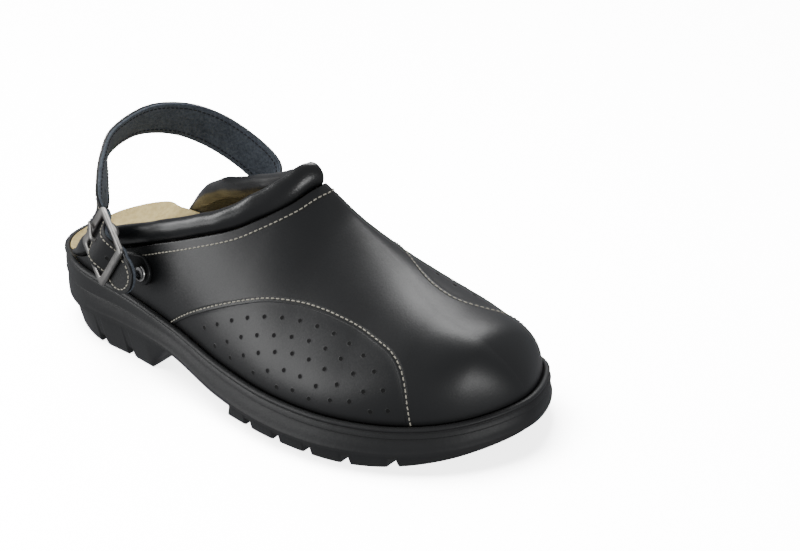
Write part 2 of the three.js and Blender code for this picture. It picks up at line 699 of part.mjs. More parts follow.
// Tab: from the outer rivet up to the centre bar and round it.
const tabLoop = centreBarRadius + clearance + tabThickness / 2;
const tabUnder = centreBarDrop + tabLoop;
const tabLoopPlaces = [250, 300, 350, 40, 90, 140].map((degrees) => {
  const angle = degrees * Math.PI / 180;
  return { at: atBuckle(tabLoop * Math.cos(angle), 0, tabLoop * Math.sin(angle) - centreBarDrop), across };
});
const tabEnd = outer.origin.clone().addScaledVector(outer.axis, clearance + tabThickness / 2);
const tabWay = atBuckle(-4, 0, -centreBarDrop).sub(tabEnd);
tabWay.addScaledVector(outer.axis, -tabWay.dot(outer.axis)).normalize();
const tabAcross = outer.axis.clone().cross(tabWay).normalize();
tabAcross.multiplyScalar(Math.sign(tabAcross.dot(across)));
const tabPlace = (ahead, lift) => tabEnd.clone().addScaledVector(tabWay, ahead)
  .addScaledVector(outer.axis, lift);
const buckleTab = band([
  { at: tabPlace(-tabWidth / 2, 4 * clearance), across: tabAcross },
  { at: tabPlace(0, clearance), across: tabAcross },
  { at: tabPlace(tabWidth / 2, 3 * clearance), across: tabAcross },
  { at: atBuckle(2 * tabSlot.from, 0, -tabUnder - 3 * clearance), across },
  { at: atBuckle(0.8 * tabSlot.from, 0, -tabUnder - clearance), across },
  ...tabLoopPlaces,
], tabWidth, tabThickness, true, false)
  .subtract(outer.hole)
  .subtract(slotPrism(tabSlot));

// Prong: hooked round the centre bar, through the strap, its point on the far end of the frame.
const prongPath = [[-2.2, -1.9], [-1.9, -3.5], [0, -4.45], [1.7, -3.7], [2.6, -2.2], [3.1, -0.2],
  [3.7, 2.6], [5.4, 4.2], [9, 3.4], [12.8, 2.25], [15.2, 2.1]];
const prong = band(prongPath.map(([a, out]) => ({ at: atBuckle(a, 0, out), across })), prongWidth,
  prongThickness, false, false, 2);

upper = upper.subtract(inner.hole).subtract(outer.hole);

const leather = { colour: '#232427', roughness: 0.45 };
const metal = { colour: '#9a9a98', roughness: 0.3, metalness: 1 };
const solids = {
  sole: { solid: sole, colour: '#1d1e20', roughness: 0.62 },
  insole: { solid: footbed, colour: '#cbbd9c', roughness: 0.9 },
  upper: { solid: upper, ...leather },
  collar: { solid: collar, colour: '#2a2b2e', roughness: 0.4 },
  heel_strap: { solid: heelStrap, ...leather },
  buckle_tab: { solid: buckleTab, ...leather },
  buckle_frame: { solid: buckleFrame, ...metal },
  buckle_prong: { solid: prong, ...metal },
  rivet_outer: { solid: outer.rivet, ...metal },
  rivet_inner: { solid: inner.rivet, ...metal },
};

function meshOf(name, { solid, colour, roughness, metalness = 0 }) {
  const source = solid.getMesh();
  let geometry = new THREE.BufferGeometry();
  geometry.setAttribute('position', new THREE.BufferAttribute(source.vertProperties, 3));
  geometry.setIndex(new THREE.BufferAttribute(source.triVerts, 1));
  geometry = mergeVertices(geometry, 0.001);
  const mesh = new THREE.Mesh(geometry, new THREE.MeshStandardMaterial({ color: colour, roughness,
    metalness }));
  mesh.name = name;
  return mesh;
}

const slipper = new THREE.Group();
slipper.name = 'work_slipper';
Object.entries(solids).forEach(([name, entry]) => slipper.add(meshOf(name, entry)));
const box = new THREE.Box3().setFromObject(slipper);
const shift = box.getCenter(point(0, 0, 0)).negate().setZ(-box.min.z);
slipper.children.forEach((mesh) => mesh.geometry.translate(shift.x, shift.y, shift.z));

export default slipper;
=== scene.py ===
import math

import bpy
import bmesh
import numpy as np
from mathutils import Matrix


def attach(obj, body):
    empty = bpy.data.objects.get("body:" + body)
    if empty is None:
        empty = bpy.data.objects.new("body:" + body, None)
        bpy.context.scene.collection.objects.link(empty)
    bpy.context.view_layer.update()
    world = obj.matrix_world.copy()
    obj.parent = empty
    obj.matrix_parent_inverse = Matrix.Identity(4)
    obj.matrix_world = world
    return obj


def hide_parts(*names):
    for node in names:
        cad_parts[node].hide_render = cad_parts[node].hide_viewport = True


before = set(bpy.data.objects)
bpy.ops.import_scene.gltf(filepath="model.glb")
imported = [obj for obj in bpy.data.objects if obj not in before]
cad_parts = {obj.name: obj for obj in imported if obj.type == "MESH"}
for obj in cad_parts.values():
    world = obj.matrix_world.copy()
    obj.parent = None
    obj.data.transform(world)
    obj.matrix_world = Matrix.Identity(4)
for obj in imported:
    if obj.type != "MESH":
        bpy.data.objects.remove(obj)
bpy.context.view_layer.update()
print("frame loaded")

# The last in millimetres: toe to +X, inner side to +Y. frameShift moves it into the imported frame.
last = {
    "soleLength": 285.0, "ballWidth": 108.0, "rimHeight": 42.0, "instepRise": 72.0,
    "featherInset": 3.5, "wall": 2.2, "clearance": 0.3,
    "frameShift": (-143.07, -2.15, 0.0),
}
# along, outer, inner, rim, crestAlong, crestRise, crestShift, shoulder, crown, lean
stations = np.array([
    [0.004, 0.000, 0.000, 0.917, 0.000, 1.000, 0.00, 0.49, 0.37, 0.00],
    [0.036, 0.191, 0.205, 0.952, 0.040, 1.000, 0.00, 0.49, 0.37, 0.00],
    [0.130, 0.337, 0.333, 0.976, 0.130, 1.000, 0.03, 0.49, 0.37, 0.00],
    [0.260, 0.377, 0.337, 0.905, 0.287, 1.039, 0.025, 0.49, 0.37, 0.00],
    [0.390, 0.431, 0.289, 0.810, 0.426, 1.078, 0.030, 0.46, 0.33, 0.00],
    [0.520, 0.496, 0.344, 0.667, 0.561, 1.070, 0.083, 0.36, 0.24, 0.02],
    [0.640, 0.532, 0.449, 0.595, 0.640, 0.858, 0.104, 0.37, 0.31, 0.03],
    [0.760, 0.510, 0.486, 0.571, 0.739, 0.659, 0.073, 0.44, 0.47, 0.04],
    [0.870, 0.403, 0.444, 0.571, 0.840, 0.528, -0.01, 0.58, 0.59, 0.04],
    [0.955, 0.220, 0.336, 0.619, 0.935, 0.389, -0.02, 0.57, 0.60, 0.04],
    [1.000, -0.050, 0.050, 0.679, 1 - 3.5 / 285, 0.000, 0.05, 0.50, 0.60, 0.00],
])
stationNames = ["along", "outer", "inner", "rim", "crestAlong", "crestRise", "crestShift",
                "shoulder", "crown", "lean"]
stationSizes = {"along": last["soleLength"], "outer": last["ballWidth"], "inner": last["ballWidth"],
                "rim": last["rimHeight"], "crestAlong": last["soleLength"],
                "crestRise": last["instepRise"], "crestShift": last["ballWidth"]}
endStation = 10.0


def toFrame(points):
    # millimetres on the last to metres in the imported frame
    return (np.asarray(points) + last["frameShift"]) / 1000


def smoothStep(value, low, high):
    # 3s^2 - 2s^3 with s running from 0 at low to 1 at high
    s = np.clip((value - low) / (high - low), 0, 1)
    return s * s * (3 - 2 * s)


def cubic(values, place, before, after):
    # Catmull-Rom curve through values at 0, 1, 2 ...; before and after stand past its ends
    padded = np.concatenate([[before], values, [after]])
    index = np.clip(np.floor(place).astype(int), 0, len(values) - 2)
    s = place - index
    a, b, c, d = (padded[index + k] for k in range(4))
    return 0.5 * (2 * b + (c - a) * s + (2 * a - 5 * b + 4 * c - d) * s ** 2
                  + (3 * b - a - 3 * c + d) * s ** 3)


def curveThrough(rows, perGap):
    # the same curve through rows of a table, perGap steps between two rows
    rows = np.asarray(rows, float)
    place = np.linspace(0, len(rows) - 1, (len(rows) - 1) * perGap + 1)
    return np.stack([cubic(column, place, column[0], column[-1]) for column in rows.T], -1)


def unit(vectors):
    return vectors / np.maximum(np.linalg.norm(vectors, axis=-1, keepdims=True), 1e-12)


def lengthsOf(points):
    # running length of a path
    return np.concatenate([[0], np.cumsum(np.linalg.norm(np.diff(points, axis=0), axis=1))])


def resample(rows, lengths, marks):
    # columns of rows read at the given lengths
    return np.stack([np.interp(marks, lengths, column) for column in rows.T], -1)


def evenNoise(place, seed, waves=9, shortest=5.0, longest=40.0):
    # sum of sines of seeded wavelength and phase, about -1 to 1
    rng = np.random.default_rng(seed)
    wavelengths = rng.uniform(shortest, longest, waves)
    phases = rng.uniform(0, 2 * math.pi, waves)
    place = np.asarray(place)[..., None]
    return np.sin(2 * math.pi * place / wavelengths + phases).sum(-1) / math.sqrt(waves) / 1.2


def formValue(name, t):
    column = stations[:, stationNames.index(name)]
    after = -column[-2] if name == "crestRise" else column[-2]
    return cubic(column, t, column[1], after) * stationSizes.get(name, 1)


def outlineRaw(t, side):
    # the sole's outline at station t, side -1 outer and 1 inner
    outer = stations[:, 1] * last["ballWidth"]
    inner = stations[:, 2] * last["ballWidth"]
    outerY = cubic(-outer, t, inner[1], inner[-2])
    innerY = cubic(inner, t, -outer[1], -outer[-2])
    return np.stack([formValue("along", t), np.where(side < 0, outerY, innerY)], -1)


def outline(t, side, inset):
    # the outline moved inwards along its normal by inset
    t, side, inset = np.broadcast_arrays(np.asarray(t, float), side, inset)
    step = 0.001
    p0 = outlineRaw(np.clip(t - step, 0, None), side)
    p1 = outlineRaw(np.clip(t + step, None, endStation), side)
    way = unit(p1 - p0)
    out = np.stack([way[..., 1] * -side, way[..., 0] * side], -1)
    atHeel, atToe = t < step, t > endStation - step
    out[atHeel] = (-1, 0)
    out[atToe] = (1, 0)
    raw = np.where((atHeel | atToe)[..., None], outlineRaw(t, np.ones(t.shape)), outlineRaw(t, side))
    return raw - out * inset[..., None]


def formPoint(t, share):
    # outside of the upper: a cubic arch from the feather edge (share -1 or 1) over the crest (0)
    t, share = np.broadcast_arrays(np.asarray(t, float), np.asarray(share, float))
    rimPoint = outline(t, np.where(share < 0, -1, 1), last["featherInset"])
    crest = np.stack([formValue("crestAlong", t), formValue("crestShift", t)], -1)
    up = 1 - np.abs(share)
    w0, w1, w2, w3 = (1 - up) ** 3, 3 * (1 - up) ** 2 * up, 3 * (1 - up) * up ** 2, up ** 3
    lean, crown = formValue("lean", t), formValue("crown", t)
    away = rimPoint - crest
    flat = (rimPoint * (w0 + w1)[..., None] + away * (w1 * lean)[..., None]
            + crest * (w2 + w3)[..., None] + away * (w2 * crown)[..., None])
    rise = w1 * formValue("shoulder", t) + w2 + w3
    z = formValue("rim", t) + formValue("crestRise", t) * rise
    return np.concatenate([flat, z[..., None]], -1)


def formNormal(t, share):
    t, share = np.broadcast_arrays(np.asarray(t, float), np.asarray(share, float))
    place = np.minimum(t, endStation - 0.02)
    limit = np.clip(share, -0.99, 0.99)
    along = formPoint(place + 0.01, share) - formPoint(place - 0.01, share)
    across = formPoint(place, limit + 0.01) - formPoint(place, limit - 0.01)
    return -unit(np.cross(across, along))


def inwards(t, share, depth):
    # the form's surface moved in by depth
    t, share = np.broadcast_arrays(np.asarray(t, float), np.asarray(share, float))
    normal = formNormal(t, share)
    edge = np.abs(share) > 0.999
    normal[edge, 2] = 0
    normal = unit(normal)
    normal[t >= endStation - 1e-6] = (1, 0, 0)
    return formPoint(t, share) - normal * np.broadcast_to(depth, t.shape)[..., None]


# Meshes

def gridFaces(rows, columns, closed=False):
    # quads of a grid of points, with the last column joined to the first when closed
    index = np.arange(rows * columns).reshape(rows, columns)
    if closed:
        index = np.concatenate([index, index[:, :1]], 1)
    return np.stack([index[:-1, :-1], index[:-1, 1:], index[1:, 1:], index[1:, :-1]], -1).reshape(-1, 4)


def makePiece(name, points, faces, material, replaces=(), slot=None, values=None, uv=None, merge=1e-6,
              recalculate=True):
    # points in millimetres on the last; values are named numbers kept at each point
    mesh = bpy.data.meshes.new(name)
    mesh.from_pydata(toFrame(points).tolist(), [], [list(f) for f in faces])
    for key, numbers in (values or {}).items():
        mesh.attributes.new(key, "FLOAT", "POINT").data.foreach_set("value", np.ravel(numbers).astype(float))
    if uv is not None:
        layer = mesh.uv_layers.new(name="surface")
        corners = np.empty(len(mesh.loops), int)
        mesh.loops.foreach_get("vertex_index", corners)
        layer.data.foreach_set("uv", np.asarray(uv, float).reshape(-1, 2)[corners].ravel())
    work = bmesh.new()
    work.from_mesh(mesh)
    if merge:
        bmesh.ops.remove_doubles(work, verts=work.verts, dist=merge)
        bmesh.ops.dissolve_degenerate(work, edges=work.edges, dist=1e-7)
    if recalculate:
        bmesh.ops.recalc_face_normals(work, faces=work.faces)
    work.to_mesh(mesh)
    work.free()
    mesh.polygons.foreach_set("use_smooth", np.ones(len(mesh.polygons), bool))
    mesh.materials.append(material)
    piece = bpy.data.objects.new(name, mesh)
    bpy.context.scene.collection.objects.link(piece)
    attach(piece, "root")
    if replaces:
        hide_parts(*replaces)
    return piece


def closedTube(rings, capped=True):
    # points and faces of closed rings joined in a row; each end is closed to its middle
    count, size = rings.shape[:2]
    points = rings.reshape(-1, 3)
    faces = [tuple(f) for f in gridFaces(count, size, True)]
    if capped:
        points = np.concatenate([points, rings[0].mean(0)[None], rings[-1].mean(0)[None]])
        first, final = count * size, count * size + 1
        base = (count - 1) * size
        faces += [(first, (k + 1) % size, k) for k in range(size)]
        faces += [(final, base + k, base + (k + 1) % size) for k in range(size)]
    return points, faces


# Shader maths

class Num:
    # a socket that carries a number; +, -, *, / and < add Math nodes
    def __init__(self, tree, socket):
        self.tree, self.socket = tree, socket

    def math(self, operation, *others, swap=False):
        node = self.tree.nodes.new("ShaderNodeMath")
        node.operation = operation
        terms = [self, *others]
        if swap:
            terms.reverse()
        for slotSocket, term in zip(node.inputs, terms):
            if isinstance(term, Num):
                self.tree.links.new(term.socket, slotSocket)
            else:
                slotSocket.default_value = term
        return Num(self.tree, node.outputs[0])

    def __add__(self, other):
        return self.math("ADD", other)

    __radd__ = __add__

    def __sub__(self, other):
        return self.math("SUBTRACT", other)

    def __rsub__(self, other):
        return self.math("SUBTRACT", other, swap=True)

    def __mul__(self, other):
        return self.math("MULTIPLY", other)

    __rmul__ = __mul__

    def __truediv__(self, other):
        return self.math("DIVIDE", other)

    def smooth(self, low, high):
        node = self.tree.nodes.new("ShaderNodeMapRange")
        node.interpolation_type = "SMOOTHSTEP"
        self.tree.links.new(self.socket, node.inputs["Value"])
        node.inputs["From Min"].default_value = low
        node.inputs["From Max"].default_value = high
        return Num(self.tree, node.outputs["Result"])


class Shader:
    # one material and its principled shader
    def __init__(self, name, **constants):
        self.material = bpy.data.materials.new(name)
        self.material.use_nodes = True
        self.tree = self.material.node_tree
        self.surface = next(n for n in self.tree.nodes if n.type == "BSDF_PRINCIPLED")
        for key, value in constants.items():
            self.surface.inputs[key].default_value = value
        self.place = self.node("ShaderNodeTexCoord", {}, {}).outputs["Object"]

    def node(self, kind, settings, sockets):
        made = self.tree.nodes.new(kind)
        for key, value in settings.items():
            setattr(made, key, value)
        for key, value in sockets.items():
            self.put(made.inputs[key], value)
        return made

    def put(self, socket, value):
        if isinstance(value, Num):
            value = value.socket
        if isinstance(value, bpy.types.NodeSocket):
            self.tree.links.new(value, socket)
        else:
            socket.default_value = value

    def noise(self, size, detail=2.0, roughness=0.5, stretch=(1, 1, 1)):
        # noise whose features are about size millimetres, from 0 to 1
        scaled = self.node("ShaderNodeMapping", {}, {"Vector": self.place, "Scale": stretch})
        made = self.node("ShaderNodeTexNoise", {}, {"Vector": scaled.outputs[0], "Scale": 1000 / size,
                                                    "Detail": detail, "Roughness": roughness})
        return Num(self.tree, made.outputs["Fac"])

    def cells(self, size, feature="F1"):
        made = self.node("ShaderNodeTexVoronoi", {"feature": feature},
                         {"Vector": self.place, "Scale": 1000 / size})
        return Num(self.tree, made.outputs["Distance"])

    def value(self, name):
        made = self.node("ShaderNodeAttribute", {"attribute_name": name}, {})
        return Num(self.tree, made.outputs["Fac"])

    def mix(self, share, first, second):
        made = self.node("ShaderNodeMix", {"data_type": "RGBA"}, {})
        self.put(made.inputs[0], share)
        self.put(made.inputs[6], first)
        self.put(made.inputs[7], second)
        return made.outputs[2]

    def finish(self, colour=None, roughness=None, height=None, depth=0.1, strength=1.0, metallic=None):
        # height is in parts of depth millimetres
        if colour is not None:
            self.put(self.surface.inputs["Base Color"], colour)
        if roughness is not None:
            self.put(self.surface.inputs["Roughness"], roughness)
        if metallic is not None:
            self.put(self.surface.inputs["Metallic"], metallic)
        if height is not None:
            bump = self.node("ShaderNodeBump", {}, {"Height": height, "Strength": strength,
                                                    "Distance": depth / 1000})
            self.put(self.surface.inputs["Normal"], bump.outputs[0])
        return self.material


def grey(level, blue=1.0):
    return (level, level * (1 + (blue - 1) * 0.4), level * blue, 1)


finishes = {"leather": 0.017, "collar": 0.014, "suede": 0.055, "sole": 0.018, "felt": (0.57, 0.475, 0.30),
            "thread": (0.55, 0.52, 0.43), "metal": (0.36, 0.35, 0.335)}


def leatherMaterial(name, level, roughness, grain, seams=False):
    shader = Shader(name, **{"Specular IOR Level": 0.5})
    cloud = shader.noise(28, 3)
    pores = shader.cells(0.9)
    fine = shader.noise(0.45, 2)
    height = pores * 0.6 + fine * 0.5 + shader.noise(6, 2) * grain * 2.5
    shade = shader.mix(cloud, grey(level * 0.85, 1.06), grey(level * 1.25, 1.10))
    rough = roughness + (cloud - 0.5) * 0.10 + (fine - 0.5) * 0.10
    if seams:
        seam = shader.value("seamDistance")
        groove = 1 - seam.math("ABSOLUTE").smooth(0.0, 1.3)
        edge = seam.smooth(1.5, 1.9)
        height = height * 0.3 - groove * 2.0 - edge * 2.4
        rough = rough + groove * 0.08
        # the lining inside is marked by a distance far below the others and painted near black, darker than the outer
        # leather: partly the lining's own dark tone, partly painted shade inside the shoe
        lining = 1 - seam.smooth(-14, -10)
        shade = shader.mix(lining, shade, (0.004, 0.004, 0.004, 1))
        rough = rough + lining * 0.5
    return shader.finish(shade, rough, height, depth=0.12 if seams else 0.07, strength=0.8)


def suedeMaterial(name):
    shader = Shader(name)
    nap = shader.noise(1.3, 4, 0.7).smooth(0.25, 0.75)
    cloud = shader.noise(9, 3)
    shade = shader.mix(nap * 0.6 + cloud * 0.4, (0.030, 0.037, 0.047, 1), (0.145, 0.168, 0.20, 1))
    return shader.finish(shade, 0.92, nap + shader.noise(0.4, 3) * 0.6, depth=0.22)


def soleMaterial(name):
    shader = Shader(name, **{"Specular IOR Level": 0.36})
    cloud = shader.noise(18, 3)
    skin = shader.noise(0.8, 4, 0.6)
    shade = shader.mix(cloud, grey(0.013, 1.05), grey(0.022, 1.06))
    return shader.finish(shade, 0.50 + (cloud - 0.5) * 0.12 + (skin - 0.5) * 0.14,
                         skin + shader.noise(3.5, 2) * 1.4, depth=0.10, strength=0.7)


def feltMaterial(name):
    shader = Shader(name)
    fibre = shader.noise(0.9, 5, 0.7)
    speck = shader.noise(2.6, 3).smooth(0.30, 0.72)
    shade = shader.mix(fibre * 0.55 + speck * 0.45, (0.60, 0.45, 0.18, 1), (0.90, 0.73, 0.35, 1))
    return shader.finish(shade, 0.95, fibre + speck * 0.5, depth=0.25)


def threadMaterial(name, colour):
    shader = Shader(name)
    twist = shader.noise(0.35, 2)
    dark = tuple(c * 0.62 for c in colour) + (1,)
    return shader.finish(shader.mix(twist, dark, tuple(colour) + (1,)), 0.75, twist, depth=0.08)


def metalMaterial(name, colour, roughness):
    shader = Shader(name, Metallic=1.0)
    brush = shader.noise(0.5, 4, 0.6, stretch=(0.25, 1, 1))
    worn = shader.noise(5, 4).smooth(0.35, 0.75)
    low = tuple(c * 0.72 for c in colour) + (1,)
    return shader.finish(shader.mix(worn, low, tuple(colour) + (1,)), roughness + brush * 0.16,
                         brush, depth=0.03, strength=0.5)


def plainMaterial(name, colour, roughness):
    shader = Shader(name)
    speck = shader.noise(1.5, 2)
    light = tuple(min(c * 1.3, 1) for c in colour) + (1,)
    return shader.finish(shader.mix(speck, tuple(colour) + (1,), light), roughness, speck, depth=0.05)


materials = {
    "upper": leatherMaterial("smooth leather", 0.010, 0.40, 0.6, seams=True),
    "collar": leatherMaterial("collar leather", 0.010, 0.30, 0.5),
    "strap": leatherMaterial("strap leather", 0.011, 0.44, 0.7),
    "lining": plainMaterial("dark lining", (0.012, 0.012, 0.013), 0.9),
    "suede": suedeMaterial("blue grey suede"),
    "sole": soleMaterial("matt black sole"),
    "felt": feltMaterial("beige felt"),
    "thread": threadMaterial("off white thread", finishes["thread"]),
    "darkThread": threadMaterial("dark thread", (0.02, 0.022, 0.028)),
    "metal": metalMaterial("dark nickel", finishes["metal"], 0.30),
    "bright": metalMaterial("bright nickel", (0.66, 0.65, 0.63), 0.18),
    # near-black painted shade for the dishes that stand in for the depth of each punched hole
    "hole": plainMaterial("painted hole shade", (0.002, 0.002, 0.002), 0.95),
}
print("materials made")

# Opening: the share of the section kept at each station, outer side first
opening = {
    "outer": [(1.62, 1.000), (1.75, 0.985), (2.00, 0.958), (2.25, 0.915), (2.50, 0.866), (3.00, 0.784), (3.50, 0.702), (4.00, 0.610), (4.50, 0.492), (4.75, 0.408), (5.00, 0.298),
              (5.15, 0.190)],
    "throat": 5.25,
    "inner": [(2.30, 1.000), (2.38, 0.960), (2.55, 0.905), (3.00, 0.796), (3.50, 0.682),
              (4.00, 0.575), (4.50, 0.438), (4.75, 0.352), (5.00, 0.258), (5.15, 0.165)],
}
edgeRows = ([(t, -share) for t, share in opening["outer"]] + [(opening["throat"], 0.0)]
            + [(t, share) for t, share in reversed(opening["inner"])])
edgeCurve = curveThrough(edgeRows, 24)
edgeCurve[:, 0] = np.minimum(edgeCurve[:, 0], opening["throat"])


def keptShare(t, side):
    # share left at station t on one side of the opening
    part = edgeCurve[edgeCurve[:, 1] * side >= 0]
    order = np.argsort(part[:, 0])
    return np.interp(t, part[order, 0], np.abs(part[order, 1]), right=0.0)


# Seams of the side panels, as read on the form: station and share
seams = {
    "outer": [(3.895, 1.0), (4.41, 0.846), (4.825, 0.734), (5.265, 0.638), (5.57, 0.582), (5.955, 0.524),
              (6.28, 0.484), (6.68, 0.446), (7.07, 0.426), (7.46, 0.441), (7.715, 0.475), (7.91, 0.554),
              (8.04, 0.672), (8.115, 0.823), (8.165, 0.998)],
    "inner": [(4.05, 0.99), (4.27, 0.91), (4.55, 0.825), (4.90, 0.735), (5.40, 0.60), (5.85, 0.475),
              (6.23, 0.367), (6.60, 0.246), (6.98, 0.158), (7.34, 0.126), (7.68, 0.141), (7.93, 0.181),
              (8.14, 0.259), (8.28, 0.347), (8.37, 0.474), (8.44, 0.62), (8.50, 0.80), (8.54, 0.99)],
    "edgeGap": 1.5, "panelDrop": 0.3,
}
seamCurves = {side: curveThrough(seams[name], 16) for side, name in ((-1, "outer"), (1, "inner"))}


def seamDistance(points, t, share, side):
    # distance to the seam, positive inside the side panel
    curve = seamCurves[side]
    line = formPoint(curve[:, 0], curve[:, 1] * side)
    flat = points.reshape(-1, 3)
    nearest = np.empty(len(flat))
    for start in range(0, len(flat), 4000):
        gap = flat[start:start + 4000, None] - line[None]
        nearest[start:start + 4000] = np.sqrt((gap ** 2).sum(-1)).min(1)
    limit = np.interp(t.ravel(), curve[:, 0], curve[:, 1], left=2, right=2)
    return (nearest * np.where(np.abs(share).ravel() > limit, 1, -1)).reshape(t.shape)


def upperHalf(side, rows=250, columns=64):
    # outside and inside skins from the feather edge up to the opening or the crest
    start = opening["outer" if side < 0 else "inner"][0][0]
    steps = np.concatenate([np.linspace(start, 5.0, rows // 2), np.linspace(5.02, 5.3, 15),
                            np.linspace(5.33, endStation, rows // 2)])
    t = np.repeat(steps[:, None], columns, 1)
    limit = keptShare(steps, side)[:, None]
    share = (1 + (limit - 1) * np.linspace(0, 1, columns)[None]) * side
    outside = formPoint(t, share)
    distance = seamDistance(outside, t, share, side)
    drop = smoothStep(distance, seams["edgeGap"] - 0.6, seams["edgeGap"] + 1.4) * seams["panelDrop"]
    outside = inwards(t, share, drop)
    inside = inwards(t, share, last["wall"])
    return steps, outside, inside, distance


def upperPiece():
    points, faces, distances, base = [], [], [], 0
    for side in (-1, 1):
        steps, outside, inside, distance = upperHalf(side)
        rows, columns = outside.shape[:2]
        count = rows * columns
        grid = gridFaces(rows, columns)
        index = np.arange(count).reshape(rows, columns)
        rim = np.stack([index[:-1, 0], index[1:, 0], index[1:, 0] + count, index[:-1, 0] + count], -1)
        open_ = steps[:-1] < opening["throat"] - 1e-6
        top = np.stack([index[:-1, -1], index[1:, -1], index[1:, -1] + count, index[:-1, -1] + count],
                       -1)[open_]
        back = np.stack([index[0, :-1], index[0, 1:], index[0, 1:] + count, index[0, :-1] + count], -1)
        faces.append(np.concatenate([grid, grid + count, rim, top, back]) + base)
        points += [outside.reshape(-1, 3), inside.reshape(-1, 3)]
        # the inside skin gets -20, which the leather material paints near black: partly the lining's own dark tone,
        # partly painted shade inside the shoe
        distances += [np.maximum(distance.ravel(), -9), np.full(count, -20.0)]
        base += 2 * count
    return makePiece("upper_wall", np.concatenate(points), np.concatenate(faces), materials["upper"],
                     replaces=("upper",), slot="upper", values={"seamDistance": np.concatenate(distances)},
                     merge=2e-6)


upperWall = upperPiece()
print("upper made", len(upperWall.data.polygons))

# Stitches: short round-ended threads laid along a line on a surface
stitch = {"pitch": 2.6, "length": 2.0, "radius": 0.33, "sink": 0.06}


def stitchMeshes(name, lines, material, slot, settings=stitch):
    # lines are pairs of points and normals; each stitch is a capsule whose ends dip into the leather
    ringSides, seed = 7, np.random.default_rng(5)
    along = np.array([-1.0, -0.86, -0.45, 0.45, 0.86, 1.0])
    girth = np.array([0.15, 0.72, 1.0, 1.0, 0.72, 0.15])
    dip = np.array([-0.9, -0.35, 0.0, 0.0, -0.35, -0.9])
    angle = np.linspace(0, 2 * math.pi, ringSides, endpoint=False)
    points, faces, base = [], [], 0
    for path, normals in lines:
        lengths = lengthsOf(path)
        count = max(int(lengths[-1] / settings["pitch"]), 1)
        marks = (np.arange(count) + 0.5) * lengths[-1] / count
        centre = resample(path, lengths, marks)
        ahead = resample(path, lengths, np.minimum(marks + 0.5, lengths[-1]))
        behind = resample(path, lengths, np.maximum(marks - 0.5, 0))
        normal = unit(resample(normals, lengths, marks))
        way = unit(ahead - behind)
        side = unit(np.cross(way, normal))
        way = unit(way + side * seed.normal(0, 0.05, (count, 1)))
        side = unit(np.cross(way, normal))
        half, radius = settings["length"] / 2, settings["radius"]
        x = along * half
        ring = (way[:, None, None] * x[None, :, None, None]
                + side[:, None, None] * (girth[:, None] * np.cos(angle) * radius)[None, :, :, None]
                + normal[:, None, None] * ((girth[:, None] * np.sin(angle) + dip[:, None]) * radius
                                           + radius * 0.55 - settings["sink"])[None, :, :, None])
        rings = centre[:, None, None] + ring
        size = len(along) * ringSides
        one = gridFaces(len(along), ringSides, True)
        caps = [list(range(ringSides))[::-1], list(range(size - ringSides, size))]
        for k in range(count):
            offset = base + k * size
            faces += (one + offset).tolist() + [[i + offset for i in cap] for cap in caps]
        points.append(rings.reshape(-1, 3))
        base += count * size
    return makePiece(name, np.concatenate(points), faces, material, slot=slot, merge=0)


def formLine(curve, side, step=1.0, lift=0.0):
    # points and normals of a station-share curve on the form
    points = formPoint(curve[:, 0], curve[:, 1] * side)
    lengths = lengthsOf(points)
    marks = np.linspace(0, lengths[-1], max(int(lengths[-1] / step), 2))
    read = resample(curve, lengths, marks)
    normals = formNormal(read[:, 0], read[:, 1] * side)
    return formPoint(read[:, 0], read[:, 1] * side) + normals * lift, normals


seamLines = [formLine(seamCurves[side], side, lift=-0.12) for side in (-1, 1)]
stitchMeshes("seam_stitches", seamLines, materials["thread"], "upper")


def besideEdge(distance, fromShare=0.0, toShare=1.0):
    # line on the form at a distance below the opening's edge
    points = formPoint(edgeCurve[:, 0], edgeCurve[:, 1])
    lengths = lengthsOf(points)
    marks = np.linspace(lengths[-1] * fromShare, lengths[-1] * toShare, 260)
    t, share = resample(edgeCurve, lengths, marks).T
    here = formPoint(t, share)
    alongT = (formPoint(t + 0.01, share) - formPoint(t - 0.01, share)) / 0.02
    alongS = (formPoint(t, share + 0.01) - formPoint(t, share - 0.01)) / 0.02
    way = unit(np.gradient(here, axis=0))
    down = unit(np.cross(way, unit(np.cross(alongT, alongS))))
    down *= np.sign((down * (formPoint(t + 0.02, share) - here)).sum(-1) + 1e-9)[:, None]
    # solve alongT * dt + alongS * ds = distance * down by least squares
    aa, ab, bb = (alongT ** 2).sum(-1), (alongT * alongS).sum(-1), (alongS ** 2).sum(-1)
    ra, rb = (alongT * down).sum(-1) * distance, (alongS * down).sum(-1) * distance
    det = aa * bb - ab * ab
    t2, share2 = t + (ra * bb - rb * ab) / det, share + (rb * aa - ra * ab) / det
    share2 = np.clip(share2, -1, 1)
    return formPoint(t2, share2), formNormal(t2, share2)


topline = {"below": 4.4, "from": 0.158, "to": 0.90}
stitchMeshes("topline_stitches", [besideEdge(topline["below"], topline["from"], topline["to"])],
             materials["thread"], "upper")
print("stitches sewn")

# Perforations: arcs in the side panel, key places of each arc and how many holes it has
perforations = {
    "radius": 0.95, "innerLead": 0.30,
    "arcs": [
        (14, [(4.60, 0.885), (5.08, 0.756), (5.64, 0.647), (6.25, 0.565), (6.88, 0.524), (7.39, 0.57),
              (7.73, 0.728), (7.84, 0.881)]),
        (12, [(4.83, 0.927), (5.32, 0.788), (5.90, 0.686), (6.51, 0.617), (7.08, 0.628), (7.45, 0.761),
              (7.59, 0.90)]),
        (9, [(5.15, 0.924), (5.72, 0.794), (6.31, 0.709), (6.87, 0.714), (7.28, 0.85)]),
        (6, [(5.63, 0.917), (6.20, 0.807), (6.75, 0.814), (6.99, 0.872)]),
        (3, [(6.09, 0.922), (6.37, 0.895), (6.65, 0.907)]),
    ],
}


